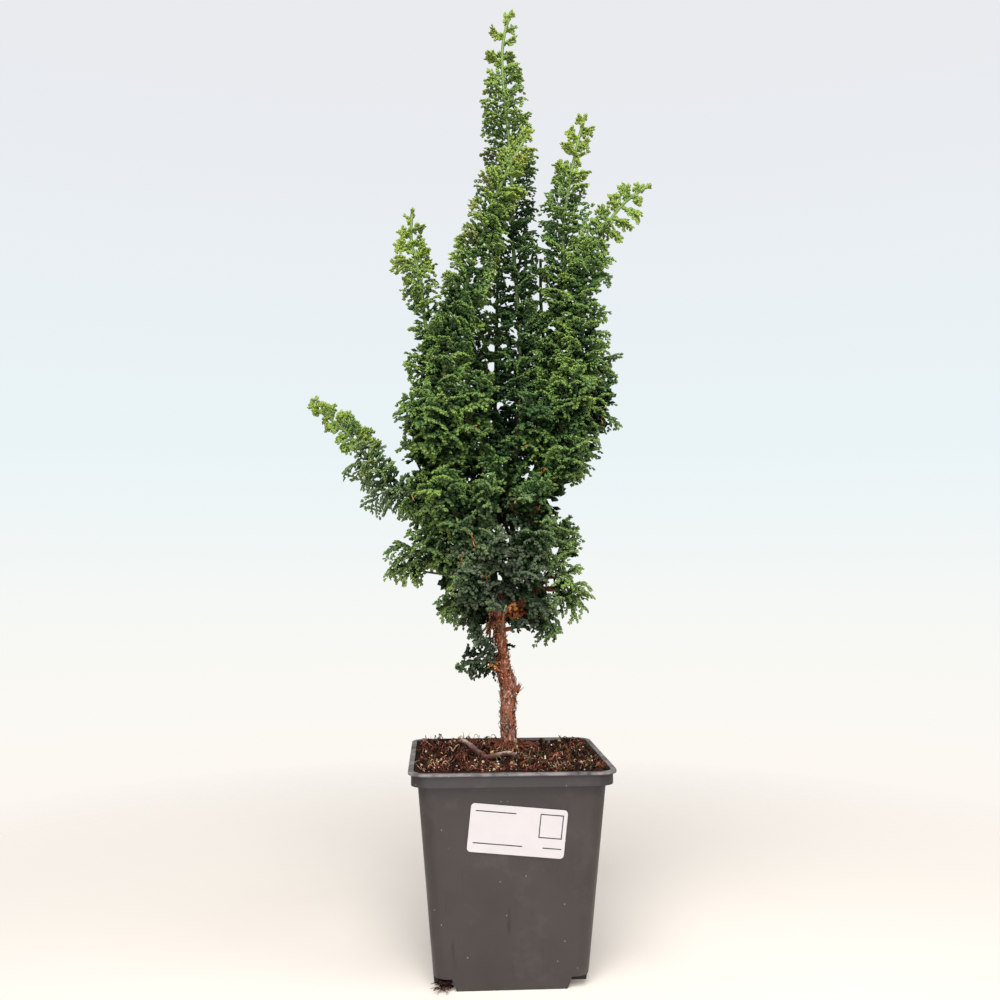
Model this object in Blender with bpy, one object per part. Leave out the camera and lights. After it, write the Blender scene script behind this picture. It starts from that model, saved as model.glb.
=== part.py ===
# Hinoki cypress bonsai in a square nursery pot: pot, soil, a root at the surface, a paper label,
# the woody trunk with its limbs and twigs, and the leafy shoots that grow on from the twigs.
# Metres, +Z up. The origin is the middle of the pot's foot, and -Y is the labelled front.

import math
import random

import bmesh
import bpy
import numpy as np
from mathutils import Matrix, Vector

GAP = 0.0003  # between solids that touch
OVERRUN = 0.004  # how far a cutter reaches past what it cuts

# Pot
POT_HEIGHT = 0.112
LIP_WIDTH = 0.108
LIP_THICKNESS = 0.0014
COLLAR_WIDTH = 0.1048
COLLAR_HEIGHT = 0.0072
BODY_TOP_WIDTH = 0.098
BODY_FOOT_WIDTH = 0.080
CORNER_RADIUS = 0.008
CORNER_STEPS = 3
WALL = 0.0012
FOOT_WIDTH = 0.057
FOOT_SLANT = 0.0024
RECESS_HEIGHT = 0.0062
DRAIN_RADIUS = 0.0035
DRAIN_PLACE = 0.034  # of each drain hole from the middle, along X and along Y
DRAIN_SIDES = 12

# Label
LABEL_LENGTH = 0.050
LABEL_HEIGHT = 0.025
LABEL_THICKNESS = 0.0004
LABEL_CORNER = 0.002
LABEL_X = 0.0022
LABEL_Z = 0.0818
LABEL_TILT = math.radians(-5.5)

# Soil
SOIL_LEVEL = 0.1104
SOIL_MOUND = 0.0040  # how much higher it lies at the trunk
SOIL_MOUND_REACH = 0.026
SOIL_LUMP = 0.0009
SOIL_HOLLOW = 0.0042  # how much lower it lies at the back right
SOIL_HOLLOW_AT = (0.036, 0.036)
SOIL_HOLLOW_REACH = 0.020
SOIL_RINGS = 7
SOIL_EDGE = (0.1070, 0.1115)  # the lowest and highest it lies along the pot's wall

# Root that arches over the soil: x, y, z along it
ROOT = [
    (-0.0290, 0.0230, 0.1080),
    (-0.0275, 0.0215, 0.1130),
    (-0.0250, 0.0180, 0.1155),
    (-0.0225, 0.0135, 0.1145),
    (-0.0185, 0.0040, 0.1123),
    (-0.0150, -0.0060, 0.1103),
    (-0.0125, -0.0110, 0.1098),
    (-0.0065, -0.0120, 0.1121),
    (-0.0015, -0.0115, 0.1138),
    (0.0025, -0.0120, 0.1131),
    (0.0050, -0.0125, 0.1105),
    (0.0058, -0.0128, 0.1070),
]
ROOT_RADIUS = 0.0016
ROOT_SIDES = 6
ROOT_STEP = 0.0050

# Trunk and limbs: x, y, z and radius along each, from below the soil
TRUNK = [
    (0.0035, 0.0110, 0.0840, 0.0030),
    (0.0030, 0.0105, 0.1050, 0.0054),
    (0.0022, 0.0095, 0.1140, 0.0050),
    (0.0012, 0.0080, 0.1300, 0.0045),
    (0.0014, 0.0065, 0.1420, 0.0046),
    (0.0010, 0.0056, 0.1500, 0.0050),
    (-0.0014, 0.0042, 0.1590, 0.0044),
    (-0.0020, 0.0026, 0.1700, 0.0036),
    (-0.0036, 0.0010, 0.1820, 0.0035),
    (-0.0046, 0.0000, 0.1960, 0.0037),
    (-0.0040, 0.0000, 0.2030, 0.0030),
]
LIMBS = {
    "left": [
        (-0.0046, 0.0000, 0.1930, 0.0029),
        (-0.0110, -0.0030, 0.2080, 0.0026),
        (-0.0160, -0.0060, 0.2260, 0.0024),
        (-0.0220, -0.0080, 0.2420, 0.0021),
        (-0.0280, -0.0100, 0.2620, 0.0018),
        (-0.0320, -0.0120, 0.2840, 0.0015),
        (-0.0345, -0.0130, 0.3020, 0.0013),
    ],
    "right": [
        (-0.0046, 0.0000, 0.1930, 0.0029),
        (0.0020, 0.0020, 0.2120, 0.0027),
        (0.0080, 0.0020, 0.2300, 0.0025),
        (0.0130, 0.0010, 0.2500, 0.0022),
        (0.0170, -0.0010, 0.2720, 0.0019),
        (0.0210, -0.0020, 0.2940, 0.0016),
        (0.0235, -0.0020, 0.3100, 0.0013),
    ],
    "middle": [
        (0.0020, 0.0020, 0.2120, 0.0020),
        (0.0036, 0.0070, 0.2320, 0.0019),
        (0.0048, 0.0110, 0.2540, 0.0018),
        (0.0060, 0.0125, 0.2760, 0.0016),
        (0.0075, 0.0125, 0.3000, 0.0014),
    ],
    "back": [
        (-0.0046, 0.0000, 0.1950, 0.0026),
        (-0.0070, 0.0090, 0.2120, 0.0024),
        (-0.0090, 0.0170, 0.2320, 0.0021),
        (-0.0110, 0.0230, 0.2560, 0.0018),
        (-0.0120, 0.0260, 0.2820, 0.0015),
        (-0.0130, 0.0270, 0.3000, 0.0013),
    ],
    "low_right": [
        (-0.0044, 0.0000, 0.1900, 0.0022),
        (0.0060, -0.0040, 0.1960, 0.0021),
        (0.0170, -0.0060, 0.2050, 0.0018),
        (0.0260, -0.0070, 0.2170, 0.0015),
        (0.0310, -0.0060, 0.2290, 0.0012),
    ],
}
STUB = [(0.0020, 0.0056, 0.1490), (0.0085, 0.0050, 0.1525)]  # of a broken twig at the trunk's bend
STUB_RADIUS = (0.0020, 0.0005)
TRUNK_SIDES = 9
TRUNK_STEP = 0.0075
LIMB_SIDES = 6
LIMB_STEP = 0.0130
TWIG_SIDES = 4
TWIG_RADIUS = 0.0014
TWIG_LENGTH = 0.0085  # from the middle of the limb to where the leafy shoot starts

# Leaders, the long shoots that stand out of the crown: the limb, the height on it where the leader
# starts, the points that it passes, and the longest reach of its lobes
LEADERS = {
    "leader_centre": (
        "middle", 0.2960,
        [(0.0088, 0.0120, 0.3180), (0.0090, 0.0120, 0.3480), (0.0070, 0.0120, 0.3800),
         (0.0045, 0.0120, 0.4150), (0.0040, 0.0120, 0.4500), (0.0020, 0.0120, 0.4760),
         (-0.0005, 0.0120, 0.5020), (-0.0018, 0.0120, 0.5230), (0.0000, 0.0120, 0.5400),
         (0.0042, 0.0120, 0.5535)],
        0.0200,
    ),
    "leader_front": (
        "left", 0.2980,
        [(-0.0360, -0.0140, 0.3210), (-0.0330, -0.0140, 0.3440), (-0.0270, -0.0140, 0.3640),
         (-0.0210, -0.0140, 0.3850), (-0.0150, -0.0140, 0.4040), (-0.0080, -0.0140, 0.4250),
         (0.0000, -0.0140, 0.4440), (0.0085, -0.0140, 0.4600), (0.0130, -0.0140, 0.4680)],
        0.0190,
    ),
    "leader_right": (
        "right", 0.3060,
        [(0.0280, -0.0020, 0.3320), (0.0315, -0.0020, 0.3600), (0.0330, -0.0020, 0.3900),
         (0.0335, -0.0020, 0.4180), (0.0370, -0.0020, 0.4420), (0.0420, -0.0020, 0.4660),
         (0.0470, -0.0020, 0.4840)],
        0.0190,
    ),
    "leader_outer_right": (
        "right", 0.2860,
        [(0.0330, -0.0140, 0.3120), (0.0410, -0.0150, 0.3400), (0.0430, -0.0140, 0.3640),
         (0.0460, -0.0130, 0.3900), (0.0540, -0.0120, 0.4080), (0.0670, -0.0120, 0.4260),
         (0.0830, -0.0120, 0.4380)],
        0.0190,
    ),
    "leader_left": (
        "left", 0.2760,
        [(-0.0400, -0.0020, 0.3040), (-0.0440, 0.0040, 0.3340), (-0.0475, 0.0060, 0.3620),
         (-0.0510, 0.0060, 0.3880), (-0.0555, 0.0060, 0.4080), (-0.0550, 0.0060, 0.4270)],
        0.0170,
    ),
    "branch_low_left": (
        "left", 0.2400,
        [(-0.0340, -0.0130, 0.2500), (-0.0500, -0.0150, 0.2570), (-0.0630, -0.0150, 0.2640),
         (-0.0765, -0.0150, 0.2750), (-0.0890, -0.0150, 0.2900), (-0.1010, -0.0150, 0.3000),
         (-0.1110, -0.0150, 0.3065)],
        0.0210,
    ),
    "leader_back": (
        "back", 0.2960,
        [(-0.0150, 0.0280, 0.3220), (-0.0190, 0.0270, 0.3500), (-0.0225, 0.0250, 0.3780),
         (-0.0250, 0.0230, 0.4020), (-0.0250, 0.0220, 0.4180)],
        0.0180,
    ),
    "leader_back_centre": (
        "back", 0.2740,
        [(-0.0060, 0.0320, 0.2960), (-0.0045, 0.0340, 0.3200), (-0.0040, 0.0340, 0.3480),
         (-0.0035, 0.0330, 0.3780), (-0.0030, 0.0320, 0.4060)],
        0.0170,
    ),
    "leader_back_right": (
        "right", 0.2980,
        [(0.0260, 0.0090, 0.3220), (0.0240, 0.0190, 0.3480), (0.0225, 0.0230, 0.3780),
         (0.0225, 0.0240, 0.4040)],
        0.0150,
    ),
}

# Sprays that fill the crown: the limb, the height on it where the spray starts, and its tip
SPRAY_REACH = 0.0215
SPRAYS = {
    "spray_low_left": ("trunk", 0.1640, (-0.0290, -0.0040, 0.1600)),
    "spray_low_back": ("trunk", 0.1810, (0.0200, 0.0220, 0.1880)),
    "spray_hanging_left": ("trunk", 0.1860, (-0.0190, -0.0150, 0.1730)),
    "spray_left_1": ("left", 0.1990, (-0.0400, -0.0020, 0.1930)),
    "spray_left_2": ("left", 0.2110, (-0.0650, 0.0020, 0.2190)),
    "spray_left_3": ("left", 0.2210, (-0.0560, -0.0180, 0.2370)),
    "spray_left_4": ("left", 0.2360, (-0.0560, 0.0100, 0.2540)),
    "spray_left_5": ("left", 0.2520, (-0.0560, -0.0040, 0.2890)),
    "spray_left_6": ("left", 0.2660, (-0.0510, -0.0180, 0.3200)),
    "spray_left_7": ("left", 0.2600, (-0.0480, 0.0220, 0.3180)),
    "spray_front_1": ("trunk", 0.1800, (-0.0040, -0.0380, 0.1960)),
    "spray_front_2": ("left", 0.2050, (-0.0270, -0.0400, 0.2180)),
    "spray_front_3": ("right", 0.2080, (0.0130, -0.0400, 0.2180)),
    "spray_front_4": ("left", 0.2400, (-0.0370, -0.0440, 0.2700)),
    "spray_front_5": ("left", 0.2460, (-0.0100, -0.0440, 0.2640)),
    "spray_front_6": ("left", 0.2710, (-0.0400, -0.0420, 0.3120)),
    "spray_front_7": ("left", 0.2840, (-0.0160, -0.0380, 0.3220)),
    "spray_front_8": ("right", 0.2400, (0.0150, -0.0440, 0.2640)),
    "spray_front_9": ("right", 0.2560, (0.0340, -0.0360, 0.2880)),
    "spray_front_10": ("right", 0.2720, (0.0130, -0.0360, 0.3120)),
    "spray_front_11": ("right", 0.2800, (0.0380, -0.0340, 0.3300)),
    "spray_front_12": ("left", 0.2190, (-0.0080, -0.0420, 0.2380)),
    "spray_front_13": ("right", 0.2240, (0.0170, -0.0400, 0.2420)),
    "spray_front_14": ("left", 0.2270, (-0.0300, -0.0420, 0.2420)),
    "spray_middle_1": ("middle", 0.2500, (-0.0020, -0.0170, 0.2900)),
    "spray_middle_2": ("middle", 0.2340, (-0.0030, 0.0200, 0.2660)),
    "spray_right_1": ("low_right", 0.1960, (0.0260, -0.0120, 0.1760)),
    "spray_right_2": ("low_right", 0.2050, (0.0400, 0.0040, 0.1960)),
    "spray_right_3": ("low_right", 0.2110, (0.0360, -0.0240, 0.2160)),
    "spray_right_9": ("low_right", 0.2000, (0.0210, -0.0320, 0.1960)),
    "spray_right_4": ("low_right", 0.2190, (0.0350, 0.0080, 0.2440)),
    "spray_right_5": ("right", 0.2520, (0.0330, -0.0150, 0.2740)),
    "spray_right_6": ("right", 0.2700, (0.0490, 0.0080, 0.3020)),
    "spray_right_7": ("right", 0.2780, (0.0590, -0.0120, 0.3290)),
    "spray_right_8": ("right", 0.2900, (0.0560, 0.0080, 0.3500)),
    "spray_back_1": ("trunk", 0.1900, (-0.0260, 0.0340, 0.1960)),
    "spray_back_2": ("trunk", 0.1960, (0.0240, 0.0320, 0.2000)),
    "spray_back_3": ("back", 0.2180, (-0.0440, 0.0320, 0.2280)),
    "spray_back_4": ("back", 0.2240, (-0.0060, 0.0500, 0.2300)),
    "spray_back_5": ("right", 0.2320, (0.0360, 0.0320, 0.2400)),
    "spray_back_6": ("back", 0.2420, (-0.0420, 0.0400, 0.2680)),
    "spray_back_7": ("back", 0.2480, (0.0140, 0.0500, 0.2680)),
    "spray_back_8": ("back", 0.2640, (-0.0280, 0.0480, 0.3060)),
    "spray_back_9": ("right", 0.2540, (0.0400, 0.0360, 0.2840)),
    "spray_back_10": ("back", 0.2780, (0.0080, 0.0440, 0.3160)),
}
SPRAY_OUT = 0.68  # how far out the bend of a spray's route lies, as a share of its whole way out
SPRAY_UP = 0.10

# Leafy shoots. Each is a stem with tiers of lobed leaf sprays, cupped upwards one above another.
STEM_RADIUS = (0.0013, 0.0009)  # at the twig and at the tip
TIER_STEP = 0.0082
TIER_TWIST = 0.23
TIER_SLOPE = math.radians(60)  # between the stem and a lobe
TIP_SLOPE = math.radians(32)  # for the lobes at the very tip
SPRAY_LOBES, LEADER_LOBES = 5, 4  # in a tier, all round the stem
REACH_AT_TIP = {"spray": 0.0100, "leader": 0.0060}
REACH_GAIN = {"spray": 0.36, "leader": 0.22}  # for each metre down from the tip
LOBE_SPREAD = (0.70, 1.16)  # shortest and longest lobe, as a share of the tier's reach
LOBE_WIDTH = 0.52  # of a lobe's blunt end, as a share of the way from lobe to lobe
NOTCH = 0.60  # between two lobes, as a share of the shorter
CORE = 0.42  # between two tiers, as a share of the reach there
SHORTEST_LOBE = 0.0026
REACH_STEPS = 14
CELL_MARGIN = 0.0018  # how much nearer a leaf stays to its own stem than to any other
WOOD_MARGIN = 0.0014  # from a leaf to the bark

MATERIALS = {  # colour, roughness
    "pot_plastic": ((0.075, 0.077, 0.085), 0.45),
    "label_paper": ((0.86, 0.84, 0.83), 0.55),
    "soil": ((0.050, 0.022, 0.013), 0.95),
    "root_bark": ((0.23, 0.13, 0.10), 0.80),
    "bark": ((0.30, 0.10, 0.05), 0.85),
    "foliage": ((0.045, 0.135, 0.030), 0.55),
}


def clear_scene():
    for obj in list(bpy.data.objects):
        bpy.data.objects.remove(obj)


def material(name):
    if name in bpy.data.materials:
        return bpy.data.materials[name]
    colour, roughness = MATERIALS[name]
    made = bpy.data.materials.new(name)
    made.use_nodes = True
    shader = made.node_tree.nodes["Principled BSDF"]
    shader.inputs["Base Color"].default_value = (*colour, 1.0)
    shader.inputs["Roughness"].default_value = roughness
    shader.inputs["Metallic"].default_value = 0.0
    return made


def solid(name, points, faces, finish):
    """An object from points and faces, its faces turned outwards."""
    mesh = bpy.data.meshes.new(name)
    bm = bmesh.new()
    corners = [bm.verts.new(p) for p in points]
    for face in faces:
        bm.faces.new([corners[i] for i in face])
    bmesh.ops.recalc_face_normals(bm, faces=bm.faces)
    bm.to_mesh(mesh)
    bm.free()
    obj = bpy.data.objects.new(name, mesh)
    bpy.context.scene.collection.objects.link(obj)
    mesh.materials.append(material(finish))
    return obj


def loft(name, rings, finish):
    """A closed solid through rings that have the same number of points."""
    count = len(rings[0])
    points = [p for ring in rings for p in ring]
    faces = [list(range(count))[::-1]]
    for level in range(len(rings) - 1):
        low = level * count
        for i in range(count):
            j = (i + 1) % count
            faces.append([low + i, low + j, low + count + j, low + count + i])
    faces.append([(len(rings) - 1) * count + i for i in range(count)])
    return solid(name, points, faces, finish)


def apply_boolean(obj, operation, solver, cutter=None, collection=None):
    modifier = obj.modifiers.new("fuse", "BOOLEAN")
    modifier.operation = operation
    modifier.solver = solver
    if collection:
        modifier.operand_type = "COLLECTION"
        modifier.collection = collection
    else:
        modifier.object = cutter
    bpy.context.view_layer.update()
    graph = bpy.context.evaluated_depsgraph_get()
    result = bpy.data.meshes.new_from_object(obj.evaluated_get(graph))
    obj.modifiers.clear()
    obj.data = result
    result.name = obj.name


def cut(obj, cutters):
    """Takes the cutters out of the solid, and removes them."""
    for cutter in cutters:
        apply_boolean(obj, "DIFFERENCE", "EXACT", cutter=cutter)
        bpy.data.objects.remove(cutter)
    return obj


def fuse(obj, pieces):
    """Joins the pieces to the solid that they grow from."""
    group = bpy.data.collections.new("pieces")
    bpy.context.scene.collection.children.link(group)
    for piece in pieces:
        bpy.context.scene.collection.objects.unlink(piece)
        group.objects.link(piece)
    apply_boolean(obj, "UNION", "MANIFOLD", collection=group)
    for piece in pieces:
        bpy.data.objects.remove(piece)
    bpy.data.collections.remove(group)
    return obj


def smooth_route(points, step):
    """Points about a step apart on a smooth curve through the given ones. Extra values, such as a
    radius, are carried along."""
    rows = [Vector(p) for p in points]
    rows = [rows[0] * 2 - rows[1]] + rows + [rows[-1] * 2 - rows[-2]]
    made = []
    for a, b, c, d in zip(rows, rows[1:], rows[2:], rows[3:]):
        parts = max(1, round((c - b).length / step))
        for i in range(parts):
            t = i / parts
            made.append(
                0.5 * (2 * b + (c - a) * t + (2 * a - 5 * b + 4 * c - d) * t * t
                       + (3 * b - a - 3 * c + d) * t * t * t)
            )
    return made + [rows[-2]]


def resampled(route, step):
    """The same line as points evenly spaced, about a step apart."""
    lengths = [0.0]
    for a, b in zip(route, route[1:]):
        lengths.append(lengths[-1] + (b - a).length)
    parts = max(1, round(lengths[-1] / step))
    return [point_at(route, lengths, lengths[-1] * i / parts) for i in range(parts + 1)]


def point_at(route, lengths, distance):
    for i in range(1, len(route)):
        if distance <= lengths[i] or i == len(route) - 1:
            share = (distance - lengths[i - 1]) / (lengths[i] - lengths[i - 1])
            return route[i - 1].lerp(route[i], min(share, 1.0))


def route_length(route):
    return sum((b - a).length for a, b in zip(route, route[1:]))


def tangents(route):
    ends = [route[0]] + route + [route[-1]]
    return [(c - a).normalized() for a, c in zip(ends, ends[2:])]


def across(direction):
    """A level direction at right angles to the given one, or +X for one that is nearly upright."""
    level = Vector((1, 0, 0)) - direction * direction.x
    return level.normalized() if level.length > 0.3 else direction.cross(Vector((0, 0, 1))).normalized()


def tube(name, route, radii, sides, finish):
    """A round stem along the route."""
    return loft(name, tube_rings(route, radii, sides), finish)


def tube_rings(route, radii, sides):
    rings = []
    side = across(tangents(route)[0])
    for centre, along, radius in zip(route, tangents(route), radii):
        side = (side - along * side.dot(along)).normalized()
        other = along.cross(side)
        turns = [2 * math.pi * i / sides for i in range(sides)]
        rings.append([centre + radius * (math.cos(a) * side + math.sin(a) * other) for a in turns])
    return rings


def rounded_square(width, radius, height):
    """A square outline with round corners, level at a height."""
    points = []
    reach = width / 2 - radius
    for quarter in range(4):
        middle = Vector((reach, reach, 0))
        for i in range(CORNER_STEPS + 1):
            a = math.pi / 2 * i / CORNER_STEPS
            corner = middle + radius * Vector((math.cos(a), math.sin(a), 0))
            corner.rotate(Matrix.Rotation(math.pi / 2 * quarter, 3, "Z"))
            points.append(Vector((corner.x, corner.y, height)))
    return points


def body_radius(width):
    """The corner radius that keeps an outline an even distance from the pot's body."""
    return CORNER_RADIUS + (width - BODY_TOP_WIDTH) / 2 if width > BODY_TOP_WIDTH else CORNER_RADIUS


def pot_outline(width, height):
    return rounded_square(width, body_radius(width), height)


def corner_block(sign_x, sign_y, grown):
    """The space under a raised corner of the pot's floor. Its two inner sides lean outwards."""
    low = FOOT_WIDTH / 2 - grown
    high = low + FOOT_SLANT
    far = BODY_FOOT_WIDTH / 2 + OVERRUN
    levels = ((-OVERRUN, low), (0.0, low), (RECESS_HEIGHT + grown, high))
    rings = []
    for height, inner in levels:
        square = ((inner, inner), (far, inner), (far, far), (inner, far))
        rings.append([Vector((sign_x * x, sign_y * y, height)) for x, y in square])
    return loft("corner_block", rings, "pot_plastic")


def corner_blocks(grown):
    return [corner_block(x, y, grown) for x in (-1, 1) for y in (-1, 1)]


def drain_hole(x, y):
    circle = [2 * math.pi * i / DRAIN_SIDES for i in range(DRAIN_SIDES)]
    rings = [
        [Vector((x + DRAIN_RADIUS * math.cos(a), y + DRAIN_RADIUS * math.sin(a), z)) for a in circle]
        for z in (0.0, RECESS_HEIGHT + WALL + OVERRUN)
    ]
    return loft("drain_hole", rings, "pot_plastic")


def make_pot():
    """A thin tapered wall with a collar and a lip, on a cross-shaped foot with raised corners."""
    collar_z = POT_HEIGHT - COLLAR_HEIGHT
    lip_z = POT_HEIGHT - LIP_THICKNESS
    pot = loft("pot", [
        pot_outline(BODY_FOOT_WIDTH, 0.0),
        pot_outline(BODY_TOP_WIDTH, collar_z),
        pot_outline(COLLAR_WIDTH, collar_z),
        pot_outline(COLLAR_WIDTH, lip_z),
        pot_outline(LIP_WIDTH, lip_z),
        pot_outline(LIP_WIDTH, POT_HEIGHT),
    ], "pot_plastic")
    cut(pot, corner_blocks(0.0))
    inside = loft("inside", cavity_rings(0.0) + [
        rounded_square(COLLAR_WIDTH - 2 * WALL, CORNER_RADIUS, POT_HEIGHT + OVERRUN)
    ], "pot_plastic")
    cut(inside, corner_blocks(WALL))
    cut(pot, [inside])
    places = (-DRAIN_PLACE, DRAIN_PLACE)
    cut(pot, [drain_hole(x, y) for x in places for y in places])
    return pot


def cavity_rings(inset):
    """Outlines up the inside of the pot, from its floor to the wide part behind the collar."""
    step_z = POT_HEIGHT - COLLAR_HEIGHT + WALL + inset
    shrink = 2 * (WALL + inset)
    radius = CORNER_RADIUS - WALL - inset
    return [
        rounded_square(BODY_FOOT_WIDTH - shrink, radius, WALL + inset),
        rounded_square(BODY_TOP_WIDTH - shrink, radius, step_z),
        rounded_square(COLLAR_WIDTH - shrink, CORNER_RADIUS - inset, step_z),
    ]


def soil_height(x, y):
    """The soil's surface: a mound round the trunk, a hollow at the back right, and lumps."""
    trunk_x, trunk_y = TRUNK[1][:2]
    mound = math.exp(-((x - trunk_x) ** 2 + (y - trunk_y) ** 2) / SOIL_MOUND_REACH**2)
    hollow_x, hollow_y = SOIL_HOLLOW_AT
    hollow = math.exp(-((x - hollow_x) ** 2 + (y - hollow_y) ** 2) / SOIL_HOLLOW_REACH**2)
    lumps = (
        math.sin(410 * x + 1.3) * math.sin(370 * y + 0.4)
        + 0.7 * math.sin(830 * x - 560 * y + 2.0)
        + 0.5 * math.sin(640 * x + 1020 * y + 0.7)
    )
    return SOIL_LEVEL + SOIL_MOUND * mound - SOIL_HOLLOW * hollow + SOIL_LUMP * lumps


def make_soil(lines):
    """The soil that fills the pot, with holes where the trunk and the root go in."""
    rings = cavity_rings(GAP)
    edge = rings[-1]
    for ring in range(SOIL_RINGS):
        share = 1 - ring / SOIL_RINGS
        level = []
        for p in edge:
            x, y = p.x * share, p.y * share
            height = soil_height(x, y)
            if ring == 0:
                height = min(max(height, SOIL_EDGE[0]), SOIL_EDGE[1])
            level.append(Vector((x, y, height)))
        rings.append(level)
    soil = loft("soil", rings, "soil")
    groove = tube("groove", *root_line(GAP * 1.5), ROOT_SIDES, "soil")
    return cut(soil, corner_blocks(WALL + GAP) + [trunk_hole(lines["trunk"]), groove])


def trunk_hole(line):
    """The part of the trunk in the soil, grown by the gap."""
    route, radii = resampled_with_radius(line, TRUNK_STEP)
    rings = tube_rings(route, [radius + 1.5 * GAP for radius in radii], TRUNK_SIDES)
    below = (route[0] - route[1]).normalized() * GAP
    rings[0] = [p + below for p in rings[0]]
    top = next(i for i, centre in enumerate(route) if centre.z > SOIL_LEVEL + SOIL_MOUND + OVERRUN)
    return loft("hole", rings[: top + 1], "soil")


def root_line(grown=0.0):
    """The root's route and its radii, slimmer at both ends."""
    route = resampled(smooth_route(ROOT, 0.001), ROOT_STEP)
    if grown:
        route = [route[0] - (route[1] - route[0]).normalized() * grown] + route[1:-1] + [
            route[-1] - (route[-2] - route[-1]).normalized() * grown
        ]
    count = len(route) - 1
    radii = []
    for i in range(count + 1):
        swell = 0.86 + 0.20 * math.sin(math.pi * i / count) + 0.06 * math.sin(2.1 * i)
        radii.append(ROOT_RADIUS * swell + grown)
    return route, radii


def make_root():
    return tube("surface_root", *root_line(), ROOT_SIDES, "root_bark")


def make_label():
    """A paper label stuck to the sloping front, turned a little."""
    points = []
    for sign_x, sign_y, start in ((1, 1, 0), (-1, 1, 1), (-1, -1, 2), (1, -1, 3)):
        middle = Vector((
            sign_x * (LABEL_LENGTH / 2 - LABEL_CORNER),
            sign_y * (LABEL_HEIGHT / 2 - LABEL_CORNER),
        ))
        for i in range(CORNER_STEPS + 1):
            a = math.pi / 2 * (start + i / CORNER_STEPS)
            points.append(middle + LABEL_CORNER * Vector((math.cos(a), math.sin(a))))
    rings = [[Vector((p.x, p.y, z)) for p in points] for z in (0.0, LABEL_THICKNESS)]
    label = loft("label", rings, "label_paper")
    height = POT_HEIGHT - COLLAR_HEIGHT
    slope = math.atan2((BODY_TOP_WIDTH - BODY_FOOT_WIDTH) / 2, height)
    wall_y = -(BODY_FOOT_WIDTH + (BODY_TOP_WIDTH - BODY_FOOT_WIDTH) * LABEL_Z / height) / 2
    outwards = Vector((0, -math.cos(slope), -math.sin(slope)))
    place = Vector((LABEL_X, wall_y, LABEL_Z)) + outwards * GAP
    label.matrix_world = (
        Matrix.Translation(place)
        @ Matrix.Rotation(math.pi / 2 + slope, 4, "X")
        @ Matrix.Rotation(LABEL_TILT, 4, "Z")
    )
    return label


def limb_lines():
    """The trunk and each limb as a fine smooth route with its radius."""
    return {name: smooth_route(points, 0.003) for name, points in [("trunk", TRUNK), *LIMBS.items()]}


def start_on(line, height):
    """The point in the middle of a limb at a height."""
    return min(line, key=lambda row: abs(row.z - height)).xyz


def spray_route(start, tip):
    """A route that leaves the limb outwards and then turns up."""
    way = Vector(tip) - start
    bend = start + Vector((way.x * SPRAY_OUT, way.y * SPRAY_OUT, way.z * SPRAY_UP))
    steps = 16
    return [
        start.lerp(bend, i / steps).lerp(bend.lerp(Vector(tip), i / steps), i / steps)
        for i in range(steps + 1)
    ]


def shoot_plans(lines):
    """For each leafy shoot its kind, its route from the middle of its limb and its longest reach."""
    plans = {}
    for name, (limb, height, points, reach) in LEADERS.items():
        route = smooth_route([start_on(lines[limb], height)] + points, 0.003)
        plans[name] = ("leader", route, reach)
    for name, (limb, height, tip) in SPRAYS.items():
        plans[name] = ("spray", spray_route(start_on(lines[limb], height), tip), SPRAY_REACH)
    return plans


def split_at(route, distance):
    """The route up to a distance along it, and from there on."""
    fine = resampled(route, 0.0005)
    index = round(distance / 0.0005)
    return fine[: index + 1], fine[index:]


def make_wood(lines, plans):
    """The trunk with its limbs and the twigs that carry the leafy shoots, as one solid."""
    trunk = resampled_with_radius(lines["trunk"], TRUNK_STEP)
    wood = tube("trunk_and_limbs", *trunk, TRUNK_SIDES, "bark")
    branches = [tube("stub", [Vector(p) for p in STUB], STUB_RADIUS, TWIG_SIDES, "bark")]
    for name in LIMBS:
        limb = resampled_with_radius(lines[name], LIMB_STEP)
        branches.append(tube(name, *limb, LIMB_SIDES, "bark"))
    for _, route, _ in plans.values():
        twig = resampled(split_at(route, TWIG_LENGTH)[0], TWIG_LENGTH)
        branches.append(tube("twig", twig, [TWIG_RADIUS] * len(twig), TWIG_SIDES, "bark"))
    return fuse(wood, branches)


def resampled_with_radius(line, step):
    rows = resampled(line, step)
    return [row.xyz for row in rows], [row[3] for row in rows]


class Clearance:
    """Says how far a leaf may reach before it comes nearer to another shoot than to its own, or to
    the wood."""

    def __init__(self, lines, plans):
        self.stems = {name: self.array(resampled(plan[1], 0.002)) for name, plan in plans.items()}
        self.wood = np.array([row[:] for line in lines.values() for row in resampled(line, 0.002)])

    @staticmethod
    def array(points):
        return np.array([p[:] for p in points])

    @staticmethod
    def nearest(points, others):
        return np.sqrt(((points[:, None, :] - others[None, :, :]) ** 2).sum(axis=2).min(axis=1))

    def allows(self, points, own):
        points = self.array(points)
        to_own = self.nearest(points, self.stems[own])
        for name, stem in self.stems.items():
            if name != own and (self.nearest(points, stem) < to_own + CELL_MARGIN).any():
                return False
        to_bark = np.sqrt(((points[:, None, :] - self.wood[None, :, :3]) ** 2).sum(axis=2))
        return not (to_bark - self.wood[None, :, 3] < WOOD_MARGIN).any()


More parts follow.
